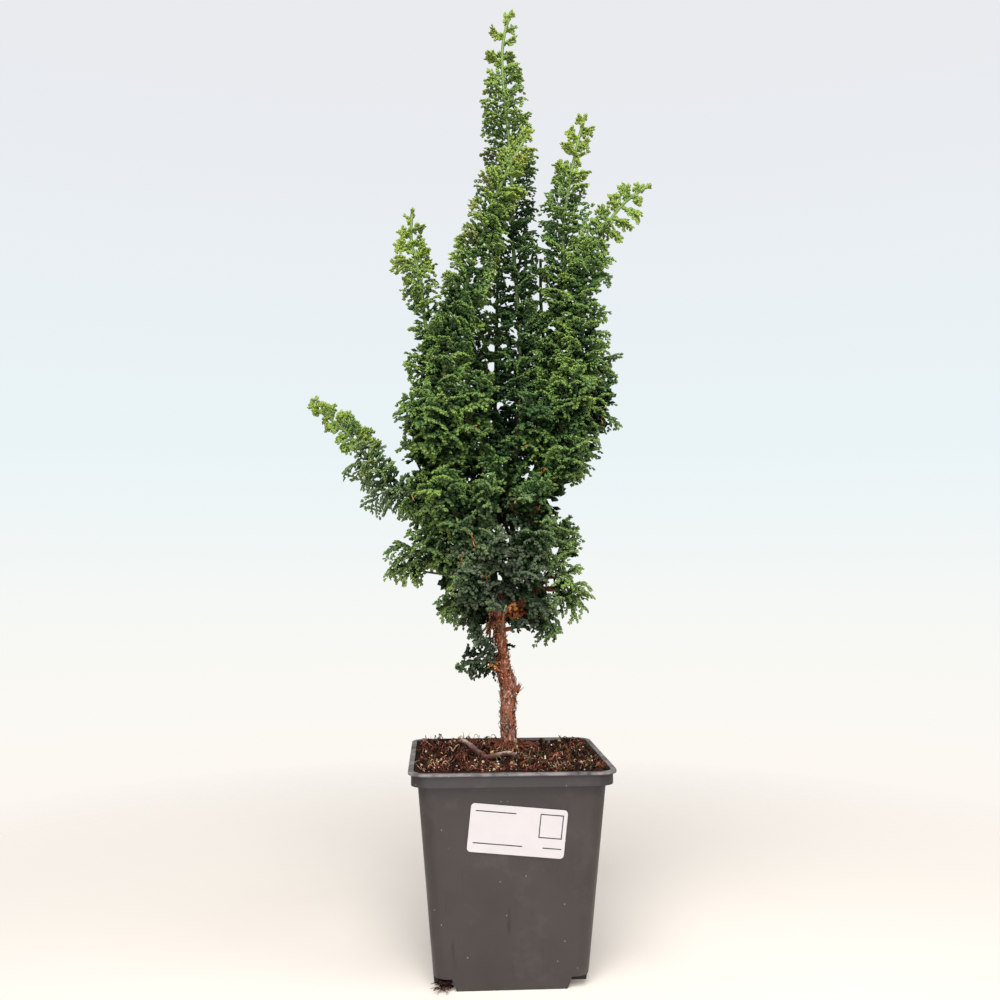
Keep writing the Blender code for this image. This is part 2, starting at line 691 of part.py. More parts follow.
class Shoot:
    """A leafy shoot built up as rings of points from its twig to its tip. The points lie on cones
    round the stem that open upwards, so that the tiers can't meet."""

    def __init__(self, name, kind, route, reach, clearance):
        self.name = name
        self.kind = kind
        self.reach = reach
        self.clearance = clearance
        self.rng = random.Random(name)
        self.lobes = SPRAY_LOBES if kind == "spray" else LEADER_LOBES
        self.route = resampled(split_at(route, TWIG_LENGTH + GAP)[1], 0.001)
        self.axes = tangents(self.route)
        self.sides = self.carried_sides()
        self.length = route_length(self.route)
        self.start = self.rng.uniform(0, 2 * math.pi)

    def carried_sides(self):
        side = across(self.axes[0])
        sides = []
        for axis in self.axes:
            side = (side - axis * side.dot(axis)).normalized()
            sides.append(side)
        return sides

    def point(self, at, slope, distance, angle):
        """The point at a distance from the stem, on the cone that leaves it at that height."""
        i = min(round(at / self.length * (len(self.route) - 1)), len(self.route) - 1)
        axis, side = self.axes[i], self.sides[i]
        outward = math.cos(angle) * side + math.sin(angle) * axis.cross(side)
        return self.route[i] + distance * (math.sin(slope) * outward + math.cos(slope) * axis)

    def free_reach(self, at, slope, wanted, angle):
        """How much of a wanted reach the room round the shoot allows."""
        for step in range(REACH_STEPS):
            distance = wanted * (1 - step / REACH_STEPS)
            ray = [self.point(at, slope, distance * t, angle) for t in (0.4, 0.6, 0.8, 1.0)]
            if self.clearance.allows(ray, self.name):
                return max(distance, SHORTEST_LOBE)
        return SHORTEST_LOBE

    def tier(self, number, at, slope, reach):
        """The points round a tier, three for each lobe: its notch and the corners of its blunt end.
        The tier above has its lobes over the notches of this one."""
        rng = self.rng
        turn = self.start + TIER_TWIST * number + math.pi * (number % 2) / self.lobes
        places = []
        for lobe in range(self.lobes):
            middle = turn + 2 * math.pi * (lobe + rng.uniform(-0.12, 0.12)) / self.lobes
            wanted = reach * rng.uniform(*LOBE_SPREAD)
            for side in (-1, 1):
                angle = middle + side * math.pi * LOBE_WIDTH / self.lobes
                places.append([slope + rng.uniform(-0.09, 0.09), wanted * rng.uniform(0.88, 1.0), angle])
        for place in places:
            place[1] = self.free_reach(at, *place)
        for lobe in range(self.lobes):
            before, after = places[3 * lobe - 1], places[3 * lobe]
            angle = turn + 2 * math.pi * (lobe - 0.5) / self.lobes
            notch = [slope, NOTCH * min(before[1], after[1]), angle]
            notch[1] = max(self.free_reach(at, *notch), self.stem_radius(at))
            places.insert(3 * lobe, notch)
        return [distance for _, distance, _ in places], [self.point(at, *place) for place in places]

    def stem_radius(self, at):
        return STEM_RADIUS[0] + (STEM_RADIUS[1] - STEM_RADIUS[0]) * at / self.length

    def core(self, number, at, slope, reach):
        """The narrower ring between two tiers."""
        turn = self.start + TIER_TWIST * number
        count = self.lobes
        distance = max(CORE * reach, self.stem_radius(at))
        return [self.point(at, slope, distance, turn + 2 * math.pi * j / count) for j in range(count)]

    def rings(self):
        length = self.length - self.reach_at(self.length) * 0.85
        count = round(length / TIER_STEP)
        step = length / (count + 0.5)
        rings = [self.core(0, 0.0, math.pi / 2, 0.0)]
        before = None
        for number in range(count + 1):
            at = step * (number + 0.5)
            slope = TIP_SLOPE if number == count else TIER_SLOPE
            reaches, points = self.tier(number, at, slope, self.reach_at(at))
            if before:
                between = (TIER_SLOPE + slope) / 2
                reach = min(before + reaches)
                rings.append(self.core(number - 0.5, at - step / 2, between, reach))
            rings.append(points)
            before = reaches
        return rings

    def reach_at(self, at):
        return min(self.reach, REACH_AT_TIP[self.kind] + REACH_GAIN[self.kind] * (self.length - at))

    def build(self):
        rings = self.rings()
        points = [p for ring in rings for p in ring]
        faces = [list(range(self.lobes))]
        first = 0
        for lower, upper in zip(rings, rings[1:]):
            faces += self.band(first, len(lower), first + len(lower), len(upper))
            first += len(lower)
        points.append(self.route[-1])
        count = 3 * self.lobes
        faces += [[first + m, first + (m + 1) % count, len(points) - 1] for m in range(count)]
        return solid(self.name, points, faces, "foliage")

    def band(self, low, low_count, high, high_count):
        """Triangles between a tier and the narrower ring below or above it."""
        narrow, wide = (low, high) if low_count < high_count else (high, low)
        faces = []
        for j in range(self.lobes):
            here, there = narrow + j, narrow + (j + 1) % self.lobes
            notch, one, other = (wide + 3 * j + i for i in range(3))
            following = wide + (3 * j + 3) % (3 * self.lobes)
            faces += [
                [here, notch, one], [here, one, other], [here, other, there], [there, other, following],
            ]
        return faces


def main():
    clear_scene()
    make_pot()
    lines = limb_lines()
    make_soil(lines)
    make_root()
    make_label()
    plans = shoot_plans(lines)
    make_wood(lines, plans)
    clearance = Clearance(lines, plans)
    for name, plan in plans.items():
        Shoot(name, *plan, clearance).build()


main()
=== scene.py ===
import math
import random

import bmesh
import bpy
import numpy as np
from mathutils import Matrix, Vector, noise
from mathutils.bvhtree import BVHTree


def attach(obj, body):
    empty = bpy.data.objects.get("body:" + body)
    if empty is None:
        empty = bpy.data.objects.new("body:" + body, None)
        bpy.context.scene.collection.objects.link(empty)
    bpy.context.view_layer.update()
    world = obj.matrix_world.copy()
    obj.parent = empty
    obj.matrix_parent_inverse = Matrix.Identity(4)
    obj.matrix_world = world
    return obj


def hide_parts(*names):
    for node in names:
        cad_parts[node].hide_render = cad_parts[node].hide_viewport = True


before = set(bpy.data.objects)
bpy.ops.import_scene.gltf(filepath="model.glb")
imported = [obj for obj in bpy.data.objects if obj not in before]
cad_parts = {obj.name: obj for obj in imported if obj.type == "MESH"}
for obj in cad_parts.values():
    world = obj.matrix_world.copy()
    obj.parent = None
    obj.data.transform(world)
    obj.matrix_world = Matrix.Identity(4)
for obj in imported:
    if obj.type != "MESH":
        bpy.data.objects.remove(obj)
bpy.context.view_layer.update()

mm = 0.001
scene = bpy.context.scene


# Mesh helpers

def clamp(value, low=0, high=1):
    return min(max(value, low), high)


def circle(count):
    # the angles of evenly spaced points on a circle
    return 2 * math.pi * np.arange(count) / count


def addObject(name, data):
    made = bpy.data.objects.new(name, data)
    scene.collection.objects.link(made)
    return made


def addMesh(name, points, faces, look=None):
    mesh = bpy.data.meshes.new(name)
    mesh.from_pydata(points, [], faces)
    if look:
        mesh.materials.append(look)
    return addObject(name, mesh)


def newPiece(name, points, faces, look, stands=(), smooth=True):
    piece = addMesh(name, points, faces, look)
    if smooth:
        piece.data.shade_smooth()
    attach(piece, "root")
    if stands:
        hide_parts(*stands)
    return piece


def applyModifiers(made):
    mesh = bpy.data.meshes.new_from_object(made.evaluated_get(bpy.context.evaluated_depsgraph_get()))
    made.modifiers.clear()
    made.data = mesh
    return mesh


def solidOf(name):
    # a node's solid in the frame, for rays
    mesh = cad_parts[name].data
    return BVHTree.FromPolygons([v.co for v in mesh.vertices], [p.vertices for p in mesh.polygons])


class MeshBag:
    # gathers many small closed shapes that end up in one mesh, each with a tint at every point
    def __init__(self):
        self.points, self.faces, self.tints, self.count = [], [], [], 0

    def add(self, points, faces, tint):
        points = np.asarray(points, float)
        self.points.append(points)
        self.faces += [[self.count + i for i in face] for face in faces]
        self.tints.append(np.broadcast_to(np.asarray(tint, float), (len(points), 4)))
        self.count += len(points)

    def addMany(self, points, faces, tints):
        # points is shapes x corners x 3, and every shape has the same faces
        shapes, corners = points.shape[:2]
        starts = self.count + corners * np.arange(shapes)
        for start in starts.tolist():
            self.faces += [[start + i for i in face] for face in faces]
        self.points.append(points.reshape(-1, 3))
        self.tints.append(tints.reshape(-1, 4))
        self.count += shapes * corners

    def piece(self, name, look, slotName, stands=()):
        made = newPiece(name, np.concatenate(self.points).tolist(), self.faces, look, stands)
        layer = made.data.color_attributes.new("tint", "FLOAT_COLOR", "POINT")
        layer.data.foreach_set("color", np.concatenate(self.tints).astype(np.float32).ravel())
        return made


def unit(rows):
    rows = np.asarray(rows, float)
    return rows / np.maximum(np.linalg.norm(rows, axis=-1, keepdims=True), 1e-12)


def smoothRoute(points, step):
    # evenly spaced points on a smooth curve through the given ones, with any further columns carried along
    rows = np.array(points, float)
    rows = np.vstack([2 * rows[0] - rows[1], rows, 2 * rows[-1] - rows[-2]])
    fine = []
    for a, b, c, d in zip(rows, rows[1:], rows[2:], rows[3:]):
        for t in np.linspace(0, 1, 16, endpoint=False):
            fine.append(0.5 * (2 * b + (c - a) * t + (2 * a - 5 * b + 4 * c - d) * t * t
                               + (3 * b - a - 3 * c + d) * t ** 3))
    return evenly(np.array(fine + [rows[-2]]), step)


def evenly(route, step):
    gaps = np.linalg.norm(np.diff(route[:, :3], axis=0), axis=1)
    along = np.concatenate([[0], np.cumsum(gaps)])
    places = np.linspace(0, along[-1], max(2, round(along[-1] / step) + 1))
    return np.column_stack([np.interp(places, along, column) for column in route.T])


def framesAlong(route):
    # the direction of the route at each of its points, and two directions across it that don't twist
    ends = np.vstack([2 * route[0] - route[1], route, 2 * route[-1] - route[-2]])
    axes = unit(ends[2:] - ends[:-2])
    side = np.array([1.0, 0, 0]) - axes[0] * axes[0][0]
    if np.linalg.norm(side) < 0.3:
        side = np.cross(axes[0], [0, 0, 1.0])
    sides = []
    for axis in axes:
        side = unit(side - axis * side.dot(axis))
        sides.append(side)
    sides = np.array(sides)
    return axes, sides, np.cross(axes, sides)


def tube(route, radii, count):
    # a closed round stem, with its two ends rounded off by the radii
    sides, others = framesAlong(route)[1:]
    turns = circle(count)
    rings = (np.cos(turns)[None, :, None] * sides[:, None, :]
             + np.sin(turns)[None, :, None] * others[:, None, :]) * np.asarray(radii)[:, None, None]
    return loft(list(route[:, None, :] + rings))


def loft(rings):
    # the points and faces of a closed solid through rings that have the same number of points
    count = len(rings[0])
    faces = [list(range(count))[::-1]]
    for low in range(0, count * (len(rings) - 1), count):
        faces += [[low + i, low + (i + 1) % count, low + count + (i + 1) % count, low + count + i]
                  for i in range(count)]
    faces.append([count * (len(rings) - 1) + i for i in range(count)])
    return np.concatenate(rings), faces


# Material helpers

def addNode(tree, kind, inputs=None, **values):
    made = tree.nodes.new(kind)
    for key, value in values.items():
        setattr(made, key, value)
    for key, value in (inputs or {}).items():
        if isinstance(value, bpy.types.NodeSocket):
            tree.links.new(value, made.inputs[key])
        else:
            made.inputs[key].default_value = value
    return made


def newLook(name, roughness, **sockets):
    look = bpy.data.materials.new(name)
    look.use_nodes = True
    shader = look.node_tree.nodes["Principled BSDF"]
    shader.inputs["Roughness"].default_value = roughness
    for key, value in sockets.items():
        shader.inputs[key].default_value = value
    return look, look.node_tree, shader


def mixColour(tree, amount, first, second, blend="MIX"):
    first, second = [value if isinstance(value, bpy.types.NodeSocket) else (*value, 1)
                     for value in (first, second)]
    return addNode(tree, "ShaderNodeMix", {0: amount, 6: first, 7: second}, data_type="RGBA",
                   blend_type=blend).outputs[2]


def mapRange(tree, value, low, high, toLow=0.0, toHigh=1.0):
    return addNode(tree, "ShaderNodeMapRange", {
        "Value": value, "From Min": low, "From Max": high, "To Min": toLow, "To Max": toHigh,
    }).outputs[0]


def maths(tree, operation, first, second):
    return addNode(tree, "ShaderNodeMath", {0: first, 1: second}, operation=operation).outputs[0]


def times(tree, first, second):
    return maths(tree, "MULTIPLY", first, second)


def objectPlace(tree):
    return addNode(tree, "ShaderNodeTexCoord").outputs["Object"]


def heightIn(tree):
    return addNode(tree, "ShaderNodeSeparateXYZ", {0: objectPlace(tree)}).outputs[2]


def tintIn(tree):
    return addNode(tree, "ShaderNodeAttribute", attribute_name="tint").outputs


def colourRamp(tree, amount, stops):
    ramp = addNode(tree, "ShaderNodeValToRGB", {0: amount})
    while len(ramp.color_ramp.elements) < len(stops):
        ramp.color_ramp.elements.new(0.5)
    for element, (place, colour) in zip(ramp.color_ramp.elements, stops):
        element.position = place
        element.color = (*colour, 1)
    return ramp.outputs[0]


def newGroup(name, inputs, outputs):
    group = bpy.data.node_groups.new(name, "ShaderNodeTree")
    for socketName, value in inputs.items():
        kind = "NodeSocketVector" if isinstance(value, tuple) else "NodeSocketFloat"
        socket = group.interface.new_socket(socketName, in_out="INPUT", socket_type=kind)
        socket.default_value = value
    for socketName in outputs:
        group.interface.new_socket(socketName, in_out="OUTPUT", socket_type="NodeSocketFloat")
    return group, addNode(group, "NodeGroupInput").outputs, addNode(group, "NodeGroupOutput").inputs


def makePatches():
    # soft blotches, stretched one way where a surface is streaked
    given = {"Scale": 50.0, "Stretch": (1.0, 1.0, 1.0), "Low": 0.4, "High": 0.6}
    group, given, result = newGroup("patches", given, ["Mask", "Height"])
    stretched = addNode(group, "ShaderNodeVectorMath", {0: objectPlace(group), 1: given["Stretch"]},
                        operation="MULTIPLY").outputs[0]
    cloud = addNode(group, "ShaderNodeTexNoise", {
        "Vector": stretched, "Scale": given["Scale"], "Detail": 4.0, "Roughness": 0.6,
    }).outputs["Fac"]
    group.links.new(mapRange(group, cloud, given["Low"], given["High"]), result["Mask"])
    group.links.new(cloud, result["Height"])
    return group


def makeFlecks():
    # small separate specks, such as dust and grit
    group, given, result = newGroup("flecks", {"Scale": 300.0, "Size": 0.12, "Share": 0.2}, ["Mask"])
    cells = addNode(group, "ShaderNodeTexVoronoi", {
        "Vector": objectPlace(group), "Scale": given["Scale"], "Randomness": 1.0,
    }).outputs
    near = maths(group, "LESS_THAN", cells["Distance"], given["Size"])
    chosen = addNode(group, "ShaderNodeSeparateColor", {"Color": cells["Color"]}).outputs[0]
    picked = maths(group, "LESS_THAN", chosen, given["Share"])
    group.links.new(times(group, near, picked), result["Mask"])
    return group


patches = makePatches()
flecks = makeFlecks()


def patchMask(tree, scale, low, high, stretch=(1, 1, 1), output="Mask"):
    given = {"Scale": scale, "Stretch": stretch, "Low": low, "High": high}
    return addNode(tree, "ShaderNodeGroup", given, node_tree=patches).outputs[output]


def fleckMask(tree, scale, size, share):
    given = {"Scale": scale, "Size": size, "Share": share}
    return addNode(tree, "ShaderNodeGroup", given, node_tree=flecks).outputs["Mask"]


def dress(look, colour, grain=None, strength=0.0, depth=0.0, stretch=(1, 1, 1)):
    # gives the look its colour, and a bump from patches of that scale
    tree = look.node_tree
    shader = tree.nodes["Principled BSDF"]
    tree.links.new(colour, shader.inputs["Base Color"])
    if grain:
        height = patchMask(tree, grain, 0.3, 0.7, stretch, "Height")
        bump = addNode(tree, "ShaderNodeBump", {"Height": height, "Strength": strength, "Distance": depth})
        tree.links.new(bump.outputs[0], shader.inputs["Normal"])
    return look


# Looks

potColours = {
    "plastic": (0.029, 0.022, 0.0205), "worn": (0.044, 0.0335, 0.0305), "streak": (0.014, 0.011, 0.011),
    # rim: a painted highlight, a lighter colour in patches along the top of the lip
    "dust": (0.42, 0.40, 0.38), "rim": (0.30, 0.265, 0.26), "collar": (0.035, 0.0285, 0.0295),
    "roughness": (0.40, 0.58), "dustShare": 0.45, "hazeShare": 0.06, "rimHighlightShare": 0.8,
    # heights in metres between which each change comes in
    "collarFrom": (0.1015, 0.1030), "rimHighlightFrom": (0.1104, 0.1112), "streaksTo": (0.02, 0.10),
    "footTo": (0.0, 0.085),
}


def makePotLook():
    look, tree, shader = newLook("potPlastic", 0.46)
    tone = patchMask(tree, 26, 0.35, 0.70)
    colour = mixColour(tree, tone, potColours["plastic"], potColours["worn"])
    height = heightIn(tree)
    colour = mixColour(tree, mapRange(tree, height, *potColours["collarFrom"]), colour, potColours["collar"])
    streaks = times(tree, patchMask(tree, 330, 0.58, 0.72, (1, 1, 0.07)), patchMask(tree, 45, 0.35, 0.65))
    streaks = times(tree, streaks, mapRange(tree, height, *potColours["streaksTo"], 0.95, 0.35))
    streaks = maths(tree, "MAXIMUM", streaks, mapRange(tree, height, *potColours["footTo"], 0.15, 0.0))
    colour = mixColour(tree, streaks, colour, potColours["streak"])
    dust = times(tree, fleckMask(tree, 300, 0.10, 0.12), potColours["dustShare"])
    haze = times(tree, patchMask(tree, 60, 0.55, 0.85), potColours["hazeShare"])
    colour = mixColour(tree, maths(tree, "MAXIMUM", dust, haze), colour, potColours["dust"])
    # painted highlight: a lighter colour in patches along the top of the lip
    worn = times(tree, mapRange(tree, height, *potColours["rimHighlightFrom"]), patchMask(tree, 160, 0.30, 0.60))
    colour = mixColour(tree, times(tree, worn, potColours["rimHighlightShare"]), colour, potColours["rim"])
    tree.links.new(mapRange(tree, tone, 0, 1, *potColours["roughness"]), shader.inputs["Roughness"])
    return dress(look, colour, 900, 0.10, 0.0003)


labelColours = {
    "paper": (0.60, 0.56, 0.56), "shade": (0.575, 0.535, 0.535),
    "ink": (0.035, 0.035, 0.04), "faded": (0.16, 0.15, 0.16),
}


def makePaperLook():
    look, tree, _ = newLook("labelPaper", 0.5)
    colour = mixColour(tree, patchMask(tree, 90, 0.4, 0.7), labelColours["paper"], labelColours["shade"])
    return dress(look, colour, 1500, 0.06, 0.0002)


def makeInkLook():
    look, tree, _ = newLook("labelInk", 0.55)
    colour = mixColour(tree, patchMask(tree, 700, 0.55, 0.8), labelColours["ink"], labelColours["faded"])
    return dress(look, colour)


barkColours = {
    "red": (0.38, 0.125, 0.062), "brown": (0.07, 0.026, 0.018), "silver": (0.72, 0.49, 0.385),
    # limb: painted shade, the bark turns near black where the crown shades the limbs
    "grey": (0.25, 0.185, 0.145), "limb": (0.024, 0.012, 0.007), "greyShare": 0.8, "silverShare": 0.82,
    # heights in metres between which each change comes in
    "greyFrom": (0.150, 0.118), "crownShadeFrom": (0.182, 0.215),
}


def makeBarkLook():
    look, tree, shader = newLook("bark", 0.82)
    furrows = patchMask(tree, 420, 0.36, 0.56, (1, 1, 0.20))
    colour = mixColour(tree, furrows, barkColours["brown"], barkColours["red"])
    height = heightIn(tree)
    grey = times(tree, patchMask(tree, 260, 0.42, 0.62), mapRange(tree, height, *barkColours["greyFrom"]))
    colour = mixColour(tree, times(tree, grey, barkColours["greyShare"]), colour, barkColours["grey"])
    silver = maths(tree, "MAXIMUM", patchMask(tree, 640, 0.56, 0.68, (1, 1, 0.35)),
                   fleckMask(tree, 1100, 0.30, 0.30))
    colour = mixColour(tree, times(tree, silver, barkColours["silverShare"]), colour, barkColours["silver"])
    # painted shade: near-black bark up inside the crown
    colour = mixColour(tree, mapRange(tree, height, *barkColours["crownShadeFrom"]), colour, barkColours["limb"])
    shader.inputs["Specular IOR Level"].default_value = 0.2
    return dress(look, colour, 800, 1.0, 0.0012, (1, 1, 0.25))


def makeTintedLook(name, roughness, bump):
    # the colour comes from the tint that each small bit was given, broken up by noise
    look, tree, shader = newLook(name, roughness)
    shader.inputs["Specular IOR Level"].default_value = 0.15
    shade = mapRange(tree, patchMask(tree, 900, 0.3, 0.7), 0, 1, 0.62, 1.25)
    grey = addNode(tree, "ShaderNodeCombineColor", {0: shade, 1: shade, 2: shade}).outputs[0]
    return dress(look, mixColour(tree, 1.0, tintIn(tree)["Color"], grey, "MULTIPLY"), 1400, bump, 0.0004)


leafColours = {
    # the first colour is painted shade, near black, for leaves deep inside the shoots
    "core": (0.007, 0.014, 0.006),
    "greens": [(0.0, (0.011, 0.028, 0.009)), (0.24, (0.022, 0.056, 0.017)), (0.53, (0.051, 0.118, 0.028)),
               (0.84, (0.190, 0.302, 0.060)), (1.0, (0.268, 0.372, 0.050))],  # from old and in painted shade to young and in painted light
    "grey": (0.036, 0.046, 0.030), "greyTip": (0.150, 0.175, 0.120), "greyShare": 0.92,
    "underside": (0.095, 0.140, 0.105), "underShare": 0.55, "brown": (0.29, 0.150, 0.065),
    "roughness": (0.45, 0.65), "shine": 0.30,
}


def makeLeafLook():
    # tint: how young a leaf is, with painted light and shade added in, how grey, how brown, and whether it is
    # the underside
    look, tree, shader = newLook("scaleLeaves", 0.50)
    tint = tintIn(tree)
    young, tone, brown = addNode(tree, "ShaderNodeSeparateColor", {"Color": tint["Color"]}).outputs[:3]
    # painted shade: leaves with the lowest tint turn to the near-black colour
    shown = mapRange(tree, young, -0.7, -0.1)
    young = maths(tree, "ADD", young, mapRange(tree, patchMask(tree, 620, 0.3, 0.7), 0, 1, 0.42, 0.58))
    colour = colourRamp(tree, times(tree, young, 0.8), leafColours["greens"])
    faded = mixColour(tree, mapRange(tree, young, 0.35, 0.95), leafColours["grey"], leafColours["greyTip"])
    colour = mixColour(tree, times(tree, tone, leafColours["greyShare"]), colour, faded)
    under = times(tree, tint["Alpha"], patchMask(tree, 800, 0.40, 0.60))
    colour = mixColour(tree, times(tree, under, leafColours["underShare"]), colour, leafColours["underside"])
    colour = mixColour(tree, brown, colour, leafColours["brown"])
    tree.links.new(mapRange(tree, tone, 0, 1, *leafColours["roughness"]), shader.inputs["Roughness"])
    shine = mapRange(tree, shown, 0.5, 1, 0.0, leafColours["shine"])
    tree.links.new(shine, shader.inputs["Specular IOR Level"])
    return dress(look, mixColour(tree, shown, leafColours["core"], colour), 1100, 0.35, 0.0004)


potLook = makePotLook()
paperLook = makePaperLook()
inkLook = makeInkLook()
barkLook = makeBarkLook()
soilLook = makeTintedLook("peat", 0.9, 0.7)
rootLook = makeTintedLook("rootSkin", 0.75, 0.6)
flakeLook = makeTintedLook("barkFlakes", 0.8, 0.4)
leafLook = makeLeafLook()
print("looks made")


# Wood: x, y, z and radius in millimetres along the trunk and each limb

wood = {
    "trunk": [
        (3.5, 11, 84, 3), (3, 10.5, 105, 5.4), (2.2, 9.5, 114, 4.7), (1.2, 8, 130, 4.3),
        (1.4, 6.5, 142, 4.4), (1, 5.6, 150, 4.8), (-1.4, 4.2, 159, 4.1), (-2, 2.6, 170, 2.8),
        (-3.6, 1, 181, 2.8), (-4.6, 0, 194, 4), (-4, 0, 203, 3.2),
    ],
    "left": [
        (-4.6, 0, 193, 2.9), (-11, -3, 208, 2.6), (-16, -6, 226, 2.4), (-22, -8, 242, 2.1),
        (-28, -10, 262, 1.8), (-32, -12, 284, 1.5), (-34.5, -13, 302, 1.3),
    ],
    "right": [
        (-4.6, 0, 193, 2.9), (2, 2, 212, 2.7), (8, 2, 230, 2.5), (13, 1, 250, 2.2), (17, -1, 272, 1.9),
        (21, -2, 294, 1.6), (23.5, -2, 310, 1.3),
    ],
    "middle": [
        (2, 2, 212, 2), (3.6, 7, 232, 1.9), (4.8, 11, 254, 1.8), (6, 12.5, 276, 1.6), (7.5, 12.5, 300, 1.4),
    ],
    "back": [
        (-4.6, 0, 195, 2.6), (-7, 9, 212, 2.4), (-9, 17, 232, 2.1), (-11, 23, 256, 1.8), (-12, 26, 282, 1.5),
        (-13, 27, 300, 1.3),
    ],
    "low_right": [
        (-4.4, 0, 190, 2.2), (6, -4, 196, 2.1), (17, -6, 205, 1.8), (26, -7, 217, 1.5), (31, -6, 229, 1.2),
    ],
}

# Leaders: the limb, the height on it where each starts, and the points that it passes
leaders = {
    "leader_centre": ("middle", 296, [
        (8.8, 12, 318), (9, 12, 348), (7, 12, 380), (4.5, 12, 415), (4, 12, 450), (2, 12, 476),
        (-0.5, 12, 502), (-1.8, 12, 523), (0, 12, 540), (4.2, 12, 553.5),
    ]),
    "leader_front": ("left", 298, [
        (-36, -14, 321), (-33, -14, 344), (-27, -14, 364), (-21, -14, 385), (-15, -14, 404), (-8, -14, 425),
        (0, -14, 444), (8.5, -14, 460), (13, -14, 468),
    ]),
    "leader_right": ("right", 306, [
        (28, -2, 332), (31.5, -2, 360), (33, -2, 390), (33.5, -2, 418), (37, -2, 442), (42, -2, 466),
        (47, -2, 484),
    ]),
    "leader_outer_right": ("right", 286, [
        (33, -14, 312), (41, -15, 340), (43, -14, 364), (46, -13, 390), (54, -12, 408), (67, -12, 426),
        (83, -12, 438),
    ]),
    "leader_left": ("left", 276, [
        (-40, -2, 304), (-44, 4, 334), (-47.5, 6, 362), (-51, 6, 388), (-55.5, 6, 408), (-55, 6, 427),
    ]),
    "branch_low_left": ("left", 240, [
        (-34, -13, 250), (-50, -15, 257), (-63, -15, 264), (-76.5, -15, 275), (-89, -15, 290),
        (-101, -15, 300), (-111, -15, 306.5),
    ]),
    "leader_back": ("back", 296, [
        (-15, 28, 322), (-19, 27, 350), (-22.5, 25, 378), (-25, 23, 402), (-25, 22, 418),
    ]),
    "leader_back_centre": ("back", 274, [
        (-6, 32, 296), (-4.5, 34, 320), (-4, 34, 348), (-3.5, 33, 378), (-3, 32, 406),
    ]),
    "leader_back_right": ("right", 298, [
        (26, 9, 322), (24, 19, 348), (22.5, 23, 378), (22.5, 24, 404),
    ]),
}

# Sprays that fill the crown, group by group: the limb, the height on it where each starts, and its tip
sprayGroups = {
    "low_left": [("trunk", 164, (-29, -4, 160))],
    "low_back": [("trunk", 181, (20, 22, 188))],
    "hanging_left": [("trunk", 186, (-19, -15, 173))],
    "left": [
        ("left", 199, (-40, -2, 193)), ("left", 211, (-65, 2, 219)), ("left", 221, (-56, -18, 237)),
        ("left", 236, (-56, 10, 254)), ("left", 252, (-56, -4, 289)), ("left", 266, (-51, -18, 320)),
        ("left", 260, (-48, 22, 318)),
    ],
    "front": [
        ("trunk", 180, (-4, -38, 196)), ("left", 205, (-27, -40, 218)), ("right", 208, (13, -40, 218)),
        ("left", 240, (-37, -44, 270)), ("left", 246, (-10, -44, 264)), ("left", 271, (-40, -42, 312)),
        ("left", 284, (-16, -38, 322)), ("right", 240, (15, -44, 264)), ("right", 256, (34, -36, 288)),
        ("right", 272, (13, -36, 312)), ("right", 280, (38, -34, 330)), ("left", 219, (-8, -42, 238)),
        ("right", 224, (17, -40, 242)), ("left", 227, (-30, -42, 242)),
    ],
    "middle": [
        ("middle", 250, (-2, -17, 290)), ("middle", 234, (-3, 20, 266)),
    ],
    "right": [
        ("low_right", 196, (26, -12, 176)), ("low_right", 205, (40, 4, 196)),
        ("low_right", 211, (36, -24, 216)), ("low_right", 219, (35, 8, 244)), ("right", 252, (33, -15, 274)),
        ("right", 270, (49, 8, 302)), ("right", 278, (59, -12, 329)), ("right", 290, (56, 8, 350)),
        ("low_right", 200, (21, -32, 196)),
    ],
    "back": [
        ("trunk", 190, (-26, 34, 196)), ("trunk", 196, (24, 32, 200)), ("back", 218, (-44, 32, 228)),
        ("back", 224, (-6, 50, 230)), ("right", 232, (36, 32, 240)), ("back", 242, (-42, 40, 268)),
        ("back", 248, (14, 50, 268)), ("back", 264, (-28, 48, 306)), ("right", 254, (40, 36, 284)),
        ("back", 278, (8, 44, 316)),
    ],
}
sprays = {}
for group, rows in sprayGroups.items():
    for number, row in enumerate(rows, 1):
        sprays[f"spray_{group}_{number}" if len(rows) > 1 else "spray_" + group] = row

woodLines = {name: smoothRoute(np.array(rows) * mm, 0.001) for name, rows in wood.items()}


def startOn(limb, height):
    line = woodLines[limb]
    return line[np.argmin(abs(line[:, 2] - height * mm)), :3]


def shootRoute(name):
    # from the middle of the limb to the shoot's tip
    if name in leaders:
        limb, height, points = leaders[name]
        return smoothRoute(np.vstack([startOn(limb, height), np.array(points, float) * mm]), 0.001)
    limb, height, tip = sprays[name]
    start = startOn(limb, height)
    way = np.array(tip) * mm - start
    bend = start + way * (0.68, 0.68, 0.10)
    t = np.linspace(0, 1, 24)[:, None]
    return evenly((1 - t) ** 2 * start + 2 * t * (1 - t) * bend + t * t * (start + way), 0.001)


routes = {name: shootRoute(name) for name in [*leaders, *sprays]}


# Leaves: every scale-leaved twig is a chain of small flattened buds

